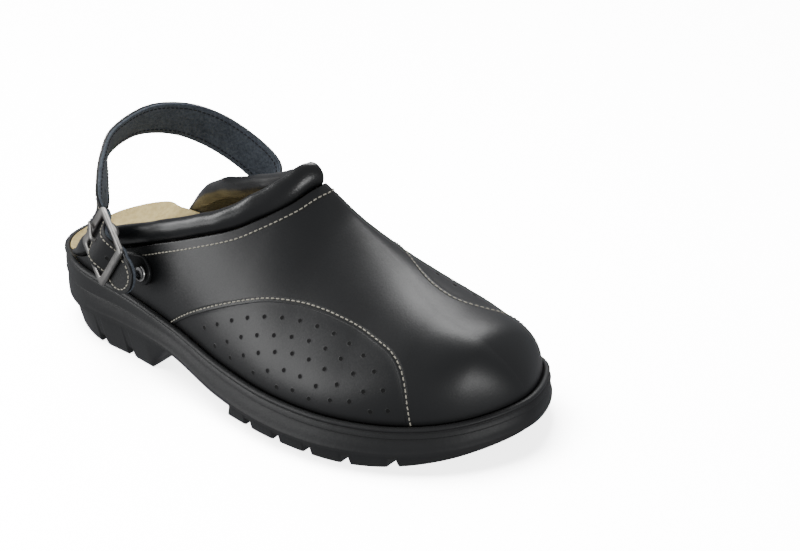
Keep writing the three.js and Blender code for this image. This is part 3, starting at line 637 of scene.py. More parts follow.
def punchedHoles(name, places, normals, radius, lipMaterial, slot):
    # each hole is a near-black dish of painted shade inside a soft rounded lip, r and height rows turned about the
    # normal
    sides = 16
    lipRows = np.array([(1.45, -0.05), (1.30, 0.035), (1.14, 0.065), (1.02, 0.02)])
    dishRows = np.array([(1.04, 0.03), (0.97, 0.012), (0.6, 0.006)])
    angle = np.linspace(0, 2 * math.pi, sides, endpoint=False)
    first = unit(np.cross(normals, [0, 0, 1.0]))
    second = np.cross(normals, first)
    spoke = first[:, None] * np.cos(angle)[None, :, None] + second[:, None] * np.sin(angle)[None, :, None]
    made = []
    for label, rows, material in (("lips", lipRows, lipMaterial), ("shadeDishes", dishRows, materials["hole"])):
        rings = (places[:, None, None] + spoke[:, None] * (rows[:, 0] * radius)[None, :, None, None]
                 + normals[:, None, None] * rows[:, 1][None, :, None, None])
        size = len(rows) * sides
        one = gridFaces(len(rows), sides, True).tolist()
        if label == "shadeDishes":
            one.append(list(range(size - sides, size)))
        faces = [[i + k * size for i in f] for k in range(len(places)) for f in one]
        made.append(makePiece(name + "_" + label, rings.reshape(-1, 3), faces, material, slot=slot,
                              merge=0, recalculate=False))
    return made


def perforationPlaces(side):
    places = []
    for count, rows in perforations["arcs"]:
        curve = curveThrough(rows, 20)
        if side > 0:
            # the same arcs between the inner seam and the feather edge
            lead = curve[:, 0] + perforations["innerLead"]
            outerSeam = np.interp(curve[:, 0], *seamCurves[-1][:170].T)
            innerSeam = np.interp(lead, *seamCurves[1][:210].T)
            part = (curve[:, 1] - outerSeam) / (1 - outerSeam)
            curve = np.stack([lead, innerSeam + (1 - innerSeam) * part], -1)
        lengths = lengthsOf(formPoint(curve[:, 0], curve[:, 1] * side))
        places.append(resample(curve, lengths, np.linspace(0, lengths[-1], count)))
    return np.concatenate(places)


for side, label in ((-1, "outer"), (1, "inner")):
    spots = perforationPlaces(side)
    punchedHoles("perforation_" + label, inwards(spots[:, 0], spots[:, 1] * side, seams["panelDrop"]),
                 formNormal(spots[:, 0], spots[:, 1] * side), perforations["radius"], materials["upper"],
                 "upper")
print("panels perforated")

# Collar: a padded roll on the edge of the opening with a skirt inside the wall
collar = {"radius": 5.4, "overhang": 0.8, "stand": 1.2, "throatSwell": 0.9, "throatSqueeze": 0.36,
          "turnReach": 15.0, "endRadius": 1.8, "endLift": 0.6, "outerTaper": 18.0, "innerTaper": 42.0,
          "skirt": 3.4, "skirtThickness": 1.2, "dent": 0.16}


def collarPiece():
    # roll radius r: across the edge overhang - depth + depth cos a, up r (1 + sin a)
    points = formPoint(edgeCurve[:, 0], edgeCurve[:, 1])
    lengths = lengthsOf(points)
    total = lengths[-1]
    marks = np.linspace(0, total, 480)
    t, share = resample(edgeCurve, lengths, marks).T
    edge = formPoint(t, share)
    reachOf = collar["turnReach"]
    way = unit(resample(points, lengths, np.minimum(marks + reachOf, total))
               - resample(points, lengths, np.maximum(marks - reachOf, 0)))
    out = formNormal(t, share)
    out = unit(out - way * (out * way).sum(-1, keepdims=True))
    up = -unit(np.cross(way, out))
    up = unit(up + np.array([0, 0, collar["stand"]]) - way * (collar["stand"] * way[:, 2:3]))
    sideways = unit(np.cross(up, way))
    sideways *= np.sign((sideways * out).sum(-1))[:, None]
    reach = np.minimum(marks, total - marks)
    taper = np.where(marks < total / 2, collar["outerTaper"], collar["innerTaper"])
    throat = smoothStep(reach, total * 0.35, total * 0.48)
    radius = (collar["endRadius"] + (collar["radius"] - collar["endRadius"]) * smoothStep(reach, 0, taper)
              + collar["throatSwell"] * throat)
    depth = (radius * (1 - collar["throatSqueeze"] * throat))[:, None]
    skirt = collar["skirt"] * smoothStep(reach, 4, taper / 2)
    gap = last["clearance"]
    degrees = np.radians(np.linspace(-82, 236, 44))
    dents = (evenNoise(marks, 3, 7, 14, 46)[:, None] * np.cos(degrees - 1.0)[None]
             + 0.7 * evenNoise(marks, 8, 7, 9, 26)[:, None] * np.cos(2 * degrees + 0.6)[None])
    swell = 1 + collar["dent"] * dents / collar["radius"] * smoothStep(reach, 3, 20)[:, None]
    arcOut = collar["overhang"] - depth + depth * swell * np.cos(degrees)[None]
    arcUp = -0.15 + radius[:, None] * (1 + swell * np.sin(degrees)[None])
    outerFace = np.full(len(marks), -last["wall"] - 2 * gap)
    innerFace = outerFace - np.minimum(collar["skirtThickness"], radius * 0.5)
    low = np.full((len(marks), 1), 0.02)
    a = np.concatenate([outerFace[:, None], outerFace[:, None], arcOut, innerFace[:, None],
                        innerFace[:, None]], 1)
    b = np.concatenate([-skirt[:, None], low, arcUp, low, -skirt[:, None]], 1)
    lift = collar["endLift"] * (1 - smoothStep(reach, 0, taper / 3))

    def ring(rows, push, scale):
        middleA, middleB = -radius[rows] / 2 - collar["overhang"], radius[rows] + gap
        ringA = middleA[:, None] + (a[rows] - middleA[:, None]) * scale
        ringB = middleB[:, None] + (b[rows] - middleB[:, None]) * scale
        axis = np.where((b[rows] > 0)[..., None], sideways[rows][:, None], out[rows][:, None])
        made = (edge[rows][:, None] + axis * ringA[..., None] + up[rows][:, None] * ringB[..., None]
                + way[rows][:, None] * (push * radius[rows])[:, None, None])
        made[..., 2] += lift[rows][:, None]
        return made

    roundEnd = [(0.35, 0.97), (0.65, 0.88), (0.9, 0.72), (1.08, 0.5), (1.18, 0.25)]
    first = np.concatenate([ring(np.array([0]), -push, scale) for push, scale in reversed(roundEnd)])
    final = np.concatenate([ring(np.array([len(marks) - 1]), push, scale) for push, scale in roundEnd])
    rings = np.concatenate([first, ring(np.arange(len(marks)), 0, 1), final])
    piece = makePiece("collar_roll", *closedTube(rings), materials["collar"], replaces=("collar",),
                      slot="collar")
    return piece


collarPiece()
print("collar made")

# Sole: ridgeDrop, bandDrop, flare, archShare and cup at the stations
soleTable = np.array([
    [0.238, 0.524, 0.20, 0.00, 0.86], [0.250, 0.548, 0.20, 0.27, 0.86], [0.250, 0.536, 0.30, 0.68, 0.93],
    [0.186, 0.429, 0.40, 0.93, 1.00], [0.105, 0.310, 0.80, 0.68, 0.93], [0.095, 0.333, 1.00, 0.31, 0.71],
    [0.095, 0.333, 1.00, 0.06, 0.50], [0.095, 0.321, 0.90, 0.00, 0.43], [0.095, 0.310, 0.60, 0.00, 0.43],
    [0.095, 0.298, 0.35, 0.00, 0.43], [0.095, 0.298, 0.20, 0.00, 0.36],
])
sole = {"ridgeDrop": 42.0, "bandDrop": 42.0, "flare": 2.4, "archShare": 12.0, "cup": 7.0,
        "bead": 2.7, "footbed": 3.2, "footbedGap": 2.4, "wingLead": 0.45, "lip": 0.8, "cupWidth": 60.0, "toeSpring": 13.0, "springLength": 70.0,
        "notchWidth": 4.0, "notchDepth": 4.0, "notchRound": 0.9}
soleNames = ["ridgeDrop", "bandDrop", "flare", "archShare", "cup"]


def soleValue(name, t):
    column = soleTable[:, soleNames.index(name)]
    return cubic(column, t, column[1], column[-2]) * sole[name]


def floorHeight(x):
    # the tread's underside: flat, then a parabola up to the toe spring
    return sole["toeSpring"] * np.maximum(1 - (last["soleLength"] - x) / sole["springLength"], 0) ** 2


def footbedInset(t, side):
    # to the edge behind the wings, clear of the wall beside them
    start = opening["outer" if side < 0 else "inner"][0][0]
    low = last["featherInset"] - last["clearance"]
    high = last["featherInset"] + last["wall"] + sole["footbedGap"]
    return low + (high - low) * smoothStep(t, start - sole["wingLead"], start)


def footbedHeight(t, across):
    # rim plus a lip, tilted up to the arch and sunk by a parabola to the cup
    width = outlineRaw(t, np.ones(t.shape))[..., 1] - outlineRaw(t, -np.ones(t.shape))[..., 1]
    cupDepth = soleValue("cup", t) * smoothStep(width, 0, sole["cupWidth"])
    return (formValue("rim", t) + sole["lip"] + soleValue("archShare", t) * (across + 1) / 2
            - cupDepth * (1 - across ** 2))


def acrossRow(t, insets, across, height):
    # points from the outer to the inner side at two insets; height reads t, across and x
    outerPoint = outline(t, -1, insets[0])
    innerPoint = outline(t, 1, insets[1])
    share = ((across + 1) / 2)[None, :, None]
    flat = outerPoint[:, None] + (innerPoint - outerPoint)[:, None] * share
    tt, cc = np.broadcast_arrays(t[:, None], across[None])
    return np.concatenate([flat, height(tt, cc, flat[..., 0])[..., None]], -1)


def soleSide(t, side):
    # side profile from the band's lip up over the ridge and the bead, refined by a curve
    ridge, band, flare = soleValue("ridgeDrop", t), soleValue("bandDrop", t), soleValue("flare", t)
    full = np.ones(len(t))
    rows = [(3.0 * full, band + 0.5), (0.2 - 0.8 * flare, band + 0.2), (-0.9 * flare, band - 0.2),
            (-flare, band * 0.93), (-flare, band * 0.88), (-0.75 * flare, ridge + (band - ridge) * 0.7),
            (-0.35 * flare, ridge + (band - ridge) * 0.45), (0.45 * full, ridge + 1.8),
            (0.75 * full, ridge + 0.9), (0.2 * full, ridge + 0.35), (-0.35 * full, ridge),
            (-0.25 * full, ridge - 0.4), (0.0 * full, 1.6 + (ridge - 1.6) * 0.55),
            (0.45 * full, 2.1 * full), (0.85 * full, 1.6 * full), (0.5 * full, 1.1 * full),
            (0.1 * full, 0.6 * full), (0.1 * full, 0.0 * full), (0.6 * full, -0.6 * full),
            (1.2 * full, -0.85 * full), (1.8 * full, -0.9 * full), (2.4 * full, -0.7 * full),
            (sole["bead"] * full, -0.3 * full), (sole["bead"] * full, 0.3 * full)]
    table = np.array(rows)
    fine = curveThrough(table.reshape(len(rows), -1), 3).reshape(-1, 2, len(t))
    inset, drop = fine[:, 0].T, fine[:, 1].T
    tt = np.repeat(t[:, None], inset.shape[1], 1)
    flat = outline(tt, np.full(tt.shape, side), inset)
    return np.concatenate([flat, (formValue("rim", t)[:, None] - drop)[..., None]], -1)


def soleBody():
    t = np.linspace(0, endStation, 300)
    ledge = {side: footbedInset(t, side) - last["clearance"] for side in (-1, 1)}
    across = np.linspace(-1, 1, 9)

    def recess(tt, cc, x):
        return footbedHeight(tt, cc) - sole["footbed"] - last["clearance"]

    def underside(tt, cc, x):
        return formValue("rim", tt) - soleValue("bandDrop", tt) - 0.5

    def ledgePoint(side):
        flat = outline(t, np.full(len(t), side), ledge[side] - 0.01)
        return np.concatenate([flat, (formValue("rim", t) - last["clearance"])[:, None]], -1)[:, None]

    rings = np.concatenate([
        soleSide(t, -1), ledgePoint(-1), acrossRow(t, (ledge[-1], ledge[1]), across, recess), ledgePoint(1),
        soleSide(t, 1)[:, ::-1], acrossRow(t, (3.0, 3.0), across, underside)[:, 1:-1][:, ::-1]], 1)
    return makePiece("sole_body", *closedTube(rings, False), materials["sole"], replaces=("sole",),
                     slot="sole")


soleBody()

treads = {
    "notches": [0.075, 0.167, 0.242, 0.572, 0.639, 0.705, 0.775, 0.849],
    "breast": [(0.298, -0.02), (0.309, 0.10), (0.330, 0.25), (0.361, 0.41), (0.407, 0.48)],
    "front": [(0.518, -0.02), (0.528, 0.19), (0.537, 0.52)],
    "heel": {"topInset": 1.2, "lowInset": 4.0, "bottomInset": 5.0},
    "fore": {"topInset": 2.6, "lowInset": 3.6, "bottomInset": 5.0},
}


def treadBottom(x, y):
    # floor plus the notches across it, each with rounded edges
    height = np.zeros(x.shape)
    for share in treads["notches"]:
        offset = np.abs(x - share * last["soleLength"])
        half = sole["notchWidth"] / 2
        height = np.maximum(height, 1 - smoothStep(offset, half - 0.35, half + sole["notchRound"]))
    return floorHeight(x) + sole["notchDepth"] * height


def treadPiece(name, xFrom, xTo, foot, breast=None, frontLine=None):
    # rings at stations; every wall row runs from the band's lip down to the tread's own bottom
    marks = [np.arange(xFrom, xTo, 1.6), [xTo]]
    for share in treads["notches"]:
        edge = share * last["soleLength"]
        marks.append(edge + np.arange(-4.2, 4.3, 0.3))
    marks = np.unique(np.concatenate(marks).round(2))
    marks = marks[(marks >= xFrom) & (marks <= xTo)]
    dense = np.linspace(0, endStation, 4000)
    t = np.interp(marks, formValue("along", dense), dense)
    if xTo >= last["soleLength"]:
        t = np.concatenate([t[t < 9.2], np.linspace(9.2, endStation, 70)])
    if xFrom <= 2:
        t = np.concatenate([np.linspace(0, 0.9, 50), t[t > 0.9]])
    lip = formValue("rim", t) - soleValue("bandDrop", t)

    def bottomZ(x, y):
        z = treadBottom(x, y)
        if breast is not None:
            rows = np.array(breast) * (last["soleLength"], last["rimHeight"])
            z = np.maximum(z, np.interp(x, rows[:, 0], rows[:, 1], left=-9))
        return z

    def wall(side):
        down = np.array([0, 0.12, 0.3, 0.5, 0.7, 0.84, 0.92, 0.97, 1.0])
        inset = foot["topInset"] + (foot["lowInset"] - foot["topInset"]) * np.minimum(down / 0.92, 1)
        inset = inset + (foot["bottomInset"] - foot["lowInset"]) * smoothStep(down, 0.9, 1.0)
        tt = np.repeat(t[:, None], len(down), 1)
        flat = outline(tt, np.full(tt.shape, side), np.broadcast_to(inset, tt.shape))
        base = np.minimum(bottomZ(flat[..., 0], flat[..., 1]), lip[:, None] + 1)
        z = (lip[:, None] - 0.2) * (1 - down) + base * down
        return np.concatenate([flat, z[..., None]], -1)

    def root(side):
        flat = outline(t, np.full(len(t), side), 5.5)
        return np.concatenate([flat, (lip + 4)[:, None]], -1)[:, None]

    across = np.linspace(-1, 1, 15)
    bottom = acrossRow(t, (foot["bottomInset"],) * 2, across,
                       lambda tt, cc, x: np.minimum(bottomZ(x, x * 0), lip[:, None] + 1))
    top = acrossRow(t, (5.5, 5.5), across[::3], lambda tt, cc, x: np.broadcast_to(lip[:, None] + 4, x.shape))
    rings = np.concatenate([root(-1), wall(-1), bottom[:, 1:-1], wall(1)[:, ::-1], root(1),
                            top[:, 1:-1][:, ::-1]], 1)
    if frontLine is not None:
        line = np.array(frontLine) * (last["soleLength"], last["rimHeight"])
        rings[..., 0] = np.maximum(rings[..., 0], np.interp(rings[..., 2], line[:, 1], line[:, 0]))
    return makePiece(name, *closedTube(rings), materials["sole"], slot="sole")


treadPiece("tread_heel", 0, 118, treads["heel"], breast=treads["breast"])
treadPiece("tread_front", 0.518 * 285, 285, treads["fore"], frontLine=treads["front"])
print("sole made")


def footbedPiece():
    # footbed with a rounded edge: the top is lowered over the last millimetre
    t = np.linspace(0, endStation, 260)
    across = np.sin(np.linspace(-1, 1, 45) * math.pi / 2)
    insets = (footbedInset(t, -1), footbedInset(t, 1))

    def top(tt, cc, x):
        half = np.maximum(outlineRaw(tt, np.ones(tt.shape))[..., 1]
                          - outlineRaw(tt, -np.ones(tt.shape))[..., 1], 1) / 2
        edge = 1 - np.clip((1 - np.abs(cc)) * half / 1.4, 0, 1)
        soft = 0.12 * evenNoise(x + 31 * cc, 21, 7, 18, 60)
        return footbedHeight(tt, cc) - 0.7 * edge ** 2 + soft * (1 - edge)

    def under(tt, cc, x):
        return footbedHeight(tt, cc) - sole["footbed"]

    rings = np.concatenate([acrossRow(t, insets, across, top),
                            acrossRow(t, insets, np.linspace(-1, 1, 9), under)[:, ::-1]], 1)
    return makePiece("footbed", *closedTube(rings, False), materials["felt"], replaces=("insole",),
                     slot="insole")


footbedPiece()
print("footbed made")

# Buckle, strap, tab and rivets
buckle = {"centre": (0.251, -0.435, 0.586), "along": (-0.778, 0.375, 0.496), "across": (0.565, 0.095, 0.814),
          "length": 29.0, "width": 27.0, "bar": 3.0, "endBar": 4.2, "depth": 2.2, "cornerRadius": 2.4, "sideDepth": 4.3,
          "barRadius": 1.1, "barDrop": 2.2}
sizes3 = np.array([last["soleLength"], last["ballWidth"], last["rimHeight"] + last["instepRise"]])
buckleCentre = np.array(buckle["centre"]) * sizes3
buckleAlong = unit(np.array(buckle["along"]))
buckleOut = unit(np.cross(buckle["across"], buckleAlong))
buckleAcross = unit(np.cross(buckleAlong, buckleOut))


def atBuckle(a, b, out):
    # place along the strap, across it and out from it
    a, b, out = np.broadcast_arrays(np.asarray(a, float), b, out)
    return (buckleCentre + a[..., None] * buckleAlong + b[..., None] * buckleAcross
            + out[..., None] * buckleOut)


def roundedLoop(halfA, halfB, radius, steps=6):
    quarter = np.linspace(0, math.pi / 2, steps)
    loop = []
    for signA, signB, turn in ((1, 1, 0), (-1, 1, 1), (-1, -1, 2), (1, -1, 3)):
        angle = quarter + turn * math.pi / 2
        loop.append(np.stack([signA * (halfA - radius) + radius * np.cos(angle),
                              signB * (halfB - radius) + radius * np.sin(angle)], -1))
    return np.concatenate(loop)


def buckleFrame():
    # a flat bar carried round a rounded rectangle; its ends are wider than its sides
    half = buckle["depth"] / 2
    profile = [(0.0, 0.5), (0.04, 0.82), (0.13, 1.0), (0.87, 1.0), (0.96, 0.82), (1.0, 0.5),
               (1.0, -0.5), (0.96, -0.82), (0.87, -1.0), (0.13, -1.0), (0.04, -0.82), (0.0, -0.5)]
    loops = []
    for share, level in profile:
        radius = buckle["cornerRadius"] * (1 - 0.5 * share)
        loop = roundedLoop(buckle["length"] / 2 - share * buckle["endBar"],
                           buckle["width"] / 2 - share * buckle["bar"], radius)
        loops.append(atBuckle(loop[:, 0], loop[:, 1], level * half))
    rings = np.stack(loops, 1)
    rings = np.concatenate([rings, rings[:1]])
    makePiece("buckle_rim", *closedTube(rings, False), materials["metal"], replaces=("buckle_frame",),
              slot="buckle_frame")
    angle = np.linspace(0, 2 * math.pi, 20, endpoint=False)
    ends = np.linspace(-1, 1, 3) * (buckle["width"] / 2 - 2)
    rod = np.stack([atBuckle(buckle["barRadius"] * np.cos(angle), end,
                             buckle["barRadius"] * np.sin(angle) - buckle["barDrop"]) for end in ends])
    makePiece("buckle_centre_bar", *closedTube(rod), materials["metal"], slot="buckle_frame")
    for side, label in ((-1, "low"), (1, "high")):
        places = np.linspace(-5, 5, 9)
        deep = buckle["depth"] / 2 - buckle["sideDepth"] * np.sqrt(np.clip(1 - (places / 5.2) ** 2, 0.05, 1))
        inner, outer = buckle["width"] / 2 - buckle["bar"], buckle["width"] / 2 - 0.6
        cheek = np.stack([atBuckle(places, side * inner, 0), atBuckle(places, side * outer, 0),
                          atBuckle(places, side * outer, deep), atBuckle(places, side * inner, deep)], 1)
        makePiece("buckle_cheek_" + label, *closedTube(cheek), materials["metal"], slot="buckle_frame")


buckleFrame()

strap = {"width": 20.0, "thickness": 2.5, "tabWidth": 12.0, "tabThickness": 1.6, "stitchInset": 2.2,
         "tip": 11.5, "dip": 2.6, "lead": 3.0, "pivot": 0.47, "holes": [20.5, 46.0, 54.0, 62.0],
         "holeRadius": 1.0,
         "path": [
             (0.189, -0.262, 0.720, 0.20, -0.28, 0.92), (0.150, -0.140, 0.785, 0.28, -0.22, 0.93),
             (0.115, -0.005, 0.832, 0.48, -0.02, 0.87), (0.106, 0.214, 0.848, 0.54, 0.14, 0.83),
             (0.129, 0.391, 0.811, 0.55, 0.20, 0.81), (0.173, 0.501, 0.744, 0.52, 0.24, 0.82),
             (0.234, 0.556, 0.652, 0.48, 0.21, 0.85), (0.286, 0.560, 0.563, 0.42, 0.16, 0.89),
             (0.312, 0.482, 0.515, 0.39, 0.04, 0.92), (0.313, 0.353, 0.491, 0.39, -0.08, 0.92)]}
rivets = {"outer": (3.38, -0.845), "inner": (3.57, 0.848), "headRadius": 4.0, "washer": 3.2, "shank": 1.5}
gap = last["clearance"]


def rivetAxis(name):
    t, share = np.array(rivets[name][0]), np.array(rivets[name][1])
    return formPoint(t, share), formNormal(t, share)


def turned(name, rows, origin, axis, material, slot, replaces=(), sides=40):
    # radius and height rows turned about an axis
    rows = np.asarray(rows, float)
    angle = np.linspace(0, 2 * math.pi, sides, endpoint=False)
    first = unit(np.cross([0, 0, 1.0], axis))
    second = np.cross(axis, first)
    spoke = first * np.cos(angle)[:, None] + second * np.sin(angle)[:, None]
    rings = origin + axis * rows[:, 1][:, None, None] + spoke[None] * rows[:, 0][:, None, None]
    return makePiece(name, *closedTube(rings, False), material, slot=slot, replaces=replaces)


def strapRows():
    under = buckle["depth"] / 2 + 2 * gap + strap["thickness"] / 2
    over = buckle["barRadius"] - buckle["barDrop"] + strap["tabThickness"] + 3 * gap + strap["thickness"] / 2
    half = buckle["length"] / 2
    inside = half - buckle["endBar"]
    weave = [(-half - strap["tip"], -under - strap["dip"]), (-half, -under), (-inside, -under), (0, over),
             (inside, -under), (half + strap["lead"], -under - gap)]
    rows = [np.concatenate([atBuckle(a, 0, out), buckleAcross]) for a, out in weave]
    rows += [np.concatenate([np.array(row[:3]) * sizes3, row[3:]]) for row in strap["path"]]
    origin, axis = rivetAxis("inner")
    upright = unit(np.array([strap["pivot"], 0, 1]) - axis * (axis[2] + axis[0] * strap["pivot"]))
    forward = unit(np.cross(upright, axis))
    forward *= np.sign(forward[0])
    for ahead, lift in ((-5, 0.8), (0, 0.15), (11, 1.6)):
        place = origin + axis * (gap + strap["thickness"] / 2 + lift) + forward * ahead
        rows.append(np.concatenate([place, upright]))
    return np.array(rows)


class Ribbon:
    # a band along a curve: place and directions at any length from its start
    def __init__(self, rows, width, outSign=1):
        fine = curveThrough(rows, 24)
        self.lengths = lengthsOf(fine[:, :3])
        self.total, self.width = self.lengths[-1], width
        self.places, self.side = fine[:, :3], fine[:, 3:]
        self.way = unit(np.gradient(self.places, axis=0))
        self.side = unit(self.side - self.way * (self.side * self.way).sum(-1, keepdims=True))
        self.out = np.cross(self.side, self.way) * outSign

    def at(self, s, across, out):
        # across and out are millimetres from the middle of the band
        s, across, out = np.broadcast_arrays(np.asarray(s, float), across, out)
        read = [np.stack([np.interp(s, self.lengths, column) for column in table.T], -1)
                for table in (self.places, self.side, self.out)]
        return read[0] + unit(read[1]) * across[..., None] + unit(read[2]) * out[..., None], unit(read[2])

    def layer(self, low, high, roundStart=True, roundEnd=True, edge=0.45, columns=13, shrink=0.0):
        # rings of a layer between two heights; the ends are half circles
        half = self.width / 2 - shrink
        bend = half * (1 - np.cos(np.linspace(0, math.pi / 2, 14)))[1:]
        bend = np.concatenate([[0.02], bend])
        start = bend if roundStart else np.array([0.0])
        end = bend if roundEnd else np.array([0.0])
        from_, to = shrink * roundStart, self.total - shrink * roundEnd
        middle = np.arange(from_ + (half if roundStart else 0) + 1, to - (half if roundEnd else 0) - 0.5, 1.0)
        s = np.unique(np.concatenate([from_ + start, middle, to - end]))
        tip = np.minimum(np.where(roundStart, s - from_, half), np.where(roundEnd, to - s, half))
        tip = np.clip(tip, 0.0, half)
        reach = np.sqrt(np.maximum(half ** 2 - (half - tip) ** 2, 0.01))[:, None]
        corner = np.minimum(edge, reach * 0.9)
        angle = np.linspace(0, math.pi / 2, 4)
        flat = np.linspace(1, -1, columns)[None]
        topRow = flat * (reach - corner)
        rightB, rightC = reach - corner + corner * np.cos(angle), high - corner + corner * np.sin(angle)
        leftB, leftC = -(reach - corner) - corner * np.sin(angle), high - corner + corner * np.cos(angle)
        b = np.concatenate([rightB, topRow[:, 1:-1], leftB, -reach, reach], 1)
        c = np.concatenate([rightC, np.full(topRow[:, 1:-1].shape, high), leftC,
                            np.full(reach.shape, low), np.full(reach.shape, low)], 1)
        return self.at(s[:, None], b, c)[0]

    def line(self, inset, height, roundStart=True, roundEnd=True, sides=(1, -1)):
        # stitch line that keeps an even inset from the edge, round both ends
        radius = self.width / 2 - inset
        turn = np.linspace(0, math.pi, 24)[1:-1]
        straight = np.arange(self.width / 2, self.total - self.width / 2, 1.0)
        rows = [(straight, np.full(len(straight), radius))]
        if roundEnd:
            rows.append((self.total - self.width / 2 + radius * np.sin(turn), radius * np.cos(turn)))
        if -1 in sides:
            rows.append((straight[::-1], np.full(len(straight), -radius)))
        if roundStart:
            rows.append((self.width / 2 - radius * np.sin(turn), -radius * np.cos(turn)))
        s = np.concatenate([r[0] for r in rows])
        b = np.concatenate([r[1] for r in rows])
        points, normals = self.at(s, b, height)
        return points, normals if height > 0 else -normals


heelBand = Ribbon(strapRows(), strap["width"])
halfStrap = strap["thickness"] / 2
makePiece("strap_outside", *closedTube(heelBand.layer(0.03, halfStrap)), materials["strap"],
          replaces=("heel_strap",), slot="heel_strap")
makePiece("strap_inside", *closedTube(heelBand.layer(0.0, -halfStrap, edge=-0.45)), materials["suede"],
          slot="heel_strap")
stitchMeshes("strap_stitches", [heelBand.line(strap["stitchInset"], halfStrap)], materials["thread"],
             "heel_strap", dict(stitch, pitch=2.4, length=1.8))
stitchMeshes("strap_stitches_inside", [heelBand.line(strap["stitchInset"], -halfStrap)],
             materials["darkThread"], "heel_strap", dict(stitch, pitch=2.4, length=1.9))
# the strap's holes get the same near-black dishes of painted shade
holePlaces, holeNormals = heelBand.at(strap["holes"], 0, halfStrap + 0.02)
punchedHoles("strap_holes", holePlaces, holeNormals, strap["holeRadius"], materials["strap"], "heel_strap")
holePlaces, holeNormals = heelBand.at(strap["holes"][1:], 0, -halfStrap - 0.02)
punchedHoles("strap_holes_inside", holePlaces, -holeNormals, strap["holeRadius"], materials["suede"],
             "heel_strap")
print("strap made")


def tabRows():
    origin, axis = rivetAxis("outer")
    end = origin + axis * (gap + strap["tabThickness"] / 2)
    loop = buckle["barRadius"] + gap + strap["tabThickness"] / 2
    way = atBuckle(-4, 0, -buckle["barDrop"]) - end
    way = unit(way - axis * (way @ axis))
    across = unit(np.cross(axis, way))
    across *= np.sign(across @ buckleAcross)
    half, drop = strap["tabWidth"] / 2, -buckle["barDrop"] - loop
    rows = [np.concatenate([end - way * half + axis * 1.2, across]),
            np.concatenate([end + axis * 0.3, across]),
            np.concatenate([end + way * half + axis * 0.9, across]),
            np.concatenate([atBuckle(-8, 0, drop - 0.9), buckleAcross]),
            np.concatenate([atBuckle(-3.2, 0, drop - 0.3), buckleAcross])]
    for degrees in (250, 300, 350, 400, 450, 500):
        angle = math.radians(degrees)
        rows.append(np.concatenate([atBuckle(loop * math.cos(angle), 0,
                                             loop * math.sin(angle) - buckle["barDrop"]), buckleAcross]))
    return np.array(rows)


tab = Ribbon(tabRows(), strap["tabWidth"])
halfTab = strap["tabThickness"] / 2
makePiece("tab_leather", *closedTube(tab.layer(-halfTab, halfTab, True, False)), materials["strap"],
          replaces=("buckle_tab",), slot="buckle_tab")


def prongPiece():
    path = [(-2.2, -1.9), (-1.9, -3.5), (0, -4.45), (1.7, -3.7), (2.6, -2.2), (3.1, -0.2), (3.7, 2.6),
            (5.4, 4.2), (9, 3.4), (12.8, 2.25), (15.2, 2.1)]
    curve = curveThrough(path, 8)
    places = atBuckle(curve[:, 0], 0, curve[:, 1])
    way = unit(np.gradient(places, axis=0))
    out = np.cross(way, buckleAcross)
    angle = np.linspace(0, 2 * math.pi, 14, endpoint=False)
    taper = 1 - 0.3 * smoothStep(np.arange(len(curve)), len(curve) - 12, len(curve) - 1)
    section = np.stack([np.sign(np.cos(angle)) * np.abs(np.cos(angle)) ** 0.7 * 1.1,
                        np.sign(np.sin(angle)) * np.abs(np.sin(angle)) ** 0.7 * 0.75], -1)
    rings = (places[:, None] + buckleAcross * (section[:, 0] * taper[:, None])[..., None]
             + out[:, None] * (section[:, 1] * taper[:, None])[..., None])
    makePiece("prong_wire", *closedTube(rings), materials["metal"], replaces=("buckle_prong",),
              slot="buckle_prong")


prongPiece()
for name, layer in (("outer", strap["tabThickness"]), ("inner", strap["thickness"])):
    origin, axis = rivetAxis(name)
    seat, base = layer + 4 * gap, -last["wall"] - gap
    head, washer, shank = rivets["headRadius"], rivets["washer"], rivets["shank"]
    rows = [(0, seat + 0.45), (1.2, seat + 0.5), (2.1, seat + 0.75), (2.7, seat + 1.25), (3.05, seat + 1.55),
            (3.4, seat + 1.6), (3.75, seat + 1.4), (3.97, seat + 1.0), (head, seat + 0.5), (3.9, seat + 0.1),
            (3.7, seat), (shank, seat), (shank, base), (washer, base), (washer + 0.05, base - 0.4),
            (washer - 0.1, base - 0.75), (0, base - 0.8)]
    turned("rivet_head_" + name, rows, origin, axis, materials["bright"], "rivet_" + name,
           replaces=("rivet_" + name,))
print("buckle and rivets made")

# Camera, floor and light
cameraSet = {"azimuth": 44.801, "elevation": 28.016, "distance": 965.107, "focal": 2016.193,
             "right": 56.726, "up": 4.339, "roll": -3.557, "centre": (142.0, 0.0, 40.0)}


def placeCamera():
    # looks from the azimuth and elevation at a point beside the centre, then rolls
    a, e = math.radians(cameraSet["azimuth"]), math.radians(cameraSet["elevation"])
    back = np.array([math.sin(a) * math.cos(e), -math.cos(a) * math.cos(e), math.sin(e)])
    right = np.array([math.cos(a), math.sin(a), 0])
    up = np.cross(back, right)
    centre = np.array(cameraSet["centre"])
    eye = centre + back * cameraSet["distance"]
    target = centre + right * cameraSet["right"] + up * cameraSet["up"]
    back = unit(eye - target)
    right = unit(np.cross([0, 0, 1.0], back))
    up = np.cross(back, right)
    r = math.radians(cameraSet["roll"])
    right, up = right * math.cos(r) + up * math.sin(r), up * math.cos(r) - right * math.sin(r)
    data = bpy.data.cameras.new("camera")
    data.sensor_fit, data.sensor_width = "HORIZONTAL", 36.0
    data.lens = cameraSet["focal"] * 36.0 / 800
    data.clip_start, data.clip_end = 0.05, 50
    camera = bpy.data.objects.new("camera", data)
    bpy.context.scene.collection.objects.link(camera)
    turn = Matrix([list(row) for row in np.stack([right, up, back], 1)]).to_4x4()
    camera.matrix_world = Matrix.Translation(toFrame(eye).tolist()) @ turn
    bpy.context.scene.camera = camera


placeCamera()

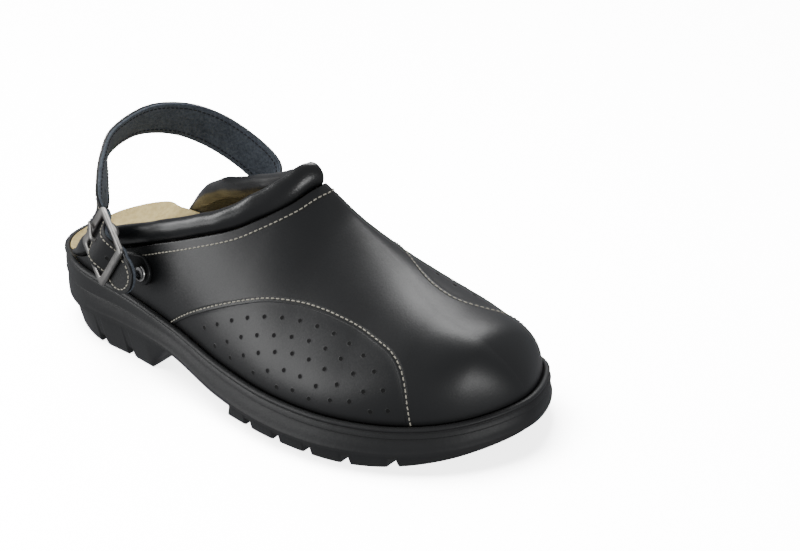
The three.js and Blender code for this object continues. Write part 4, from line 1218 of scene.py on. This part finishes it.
lights = {
    "key": {"place": (-0.90, -1.24, 0.46), "size": (1.3, 0.85), "power": 13},
    "front": {"place": (1.42, -0.44, 0.24), "size": (0.55, 0.42), "power": 7},
    "left": {"place": (-1.22, -0.52, 0.92), "size": (0.9, 0.5), "power": 12},
    "back": {"place": (-0.50, 1.30, 1.70), "size": (1.4, 0.8), "power": 36},
    "paper": {"place": (-0.30, -0.20, 1.50), "size": (1.2, 1.2), "power": 330},
}


def softBox(name, place, size, power):
    data = bpy.data.lights.new(name, "AREA")
    data.shape, data.size, data.size_y, data.energy = "RECTANGLE", size[0], size[1], power
    lamp = bpy.data.objects.new(name, data)
    bpy.context.scene.collection.objects.link(lamp)
    back = unit(np.array(place) - (0, 0, 0.04))
    right = unit(np.cross([0, 0, 1.0], back))
    turn = Matrix([list(row) for row in np.stack([right, np.cross(back, right), back], 1)]).to_4x4()
    lamp.matrix_world = Matrix.Translation(place) @ turn
    return lamp


lamps = {name: softBox(name, setting["place"], setting["size"], setting["power"])
         for name, setting in lights.items()}
world = bpy.data.worlds.new("studio")
world.use_nodes = True
world.node_tree.nodes["Background"].inputs[0].default_value = (0.94, 0.96, 1.0, 1)
world.node_tree.nodes["Background"].inputs[1].default_value = 0.38
bpy.context.scene.world = world


def floorPiece():
    # bright paper: it glows a little and has a lamp of its own, whose light gives the soft shadow
    shader = Shader("pale floor", Roughness=0.6)
    shader.surface.inputs["Emission Color"].default_value = (1, 1, 1, 1)
    shader.surface.inputs["Emission Strength"].default_value = 4.0
    material = shader.finish((0.95, 0.95, 0.95, 1))
    mesh = bpy.data.meshes.new("floor")
    size = 6.0
    mesh.from_pydata([(-size, -size, 0), (size, -size, 0), (size, size, 0), (-size, size, 0)], [],
                     [(0, 1, 2, 3)])
    mesh.materials.append(material)
    floor = bpy.data.objects.new("floor", mesh)
    floor.visible_diffuse = floor.visible_glossy = False
    bpy.context.scene.collection.objects.link(floor)
    paper = bpy.data.collections.new("paper")
    paper.objects.link(floor)
    lamps["paper"].light_linking.receiver_collection = paper


floorPiece()
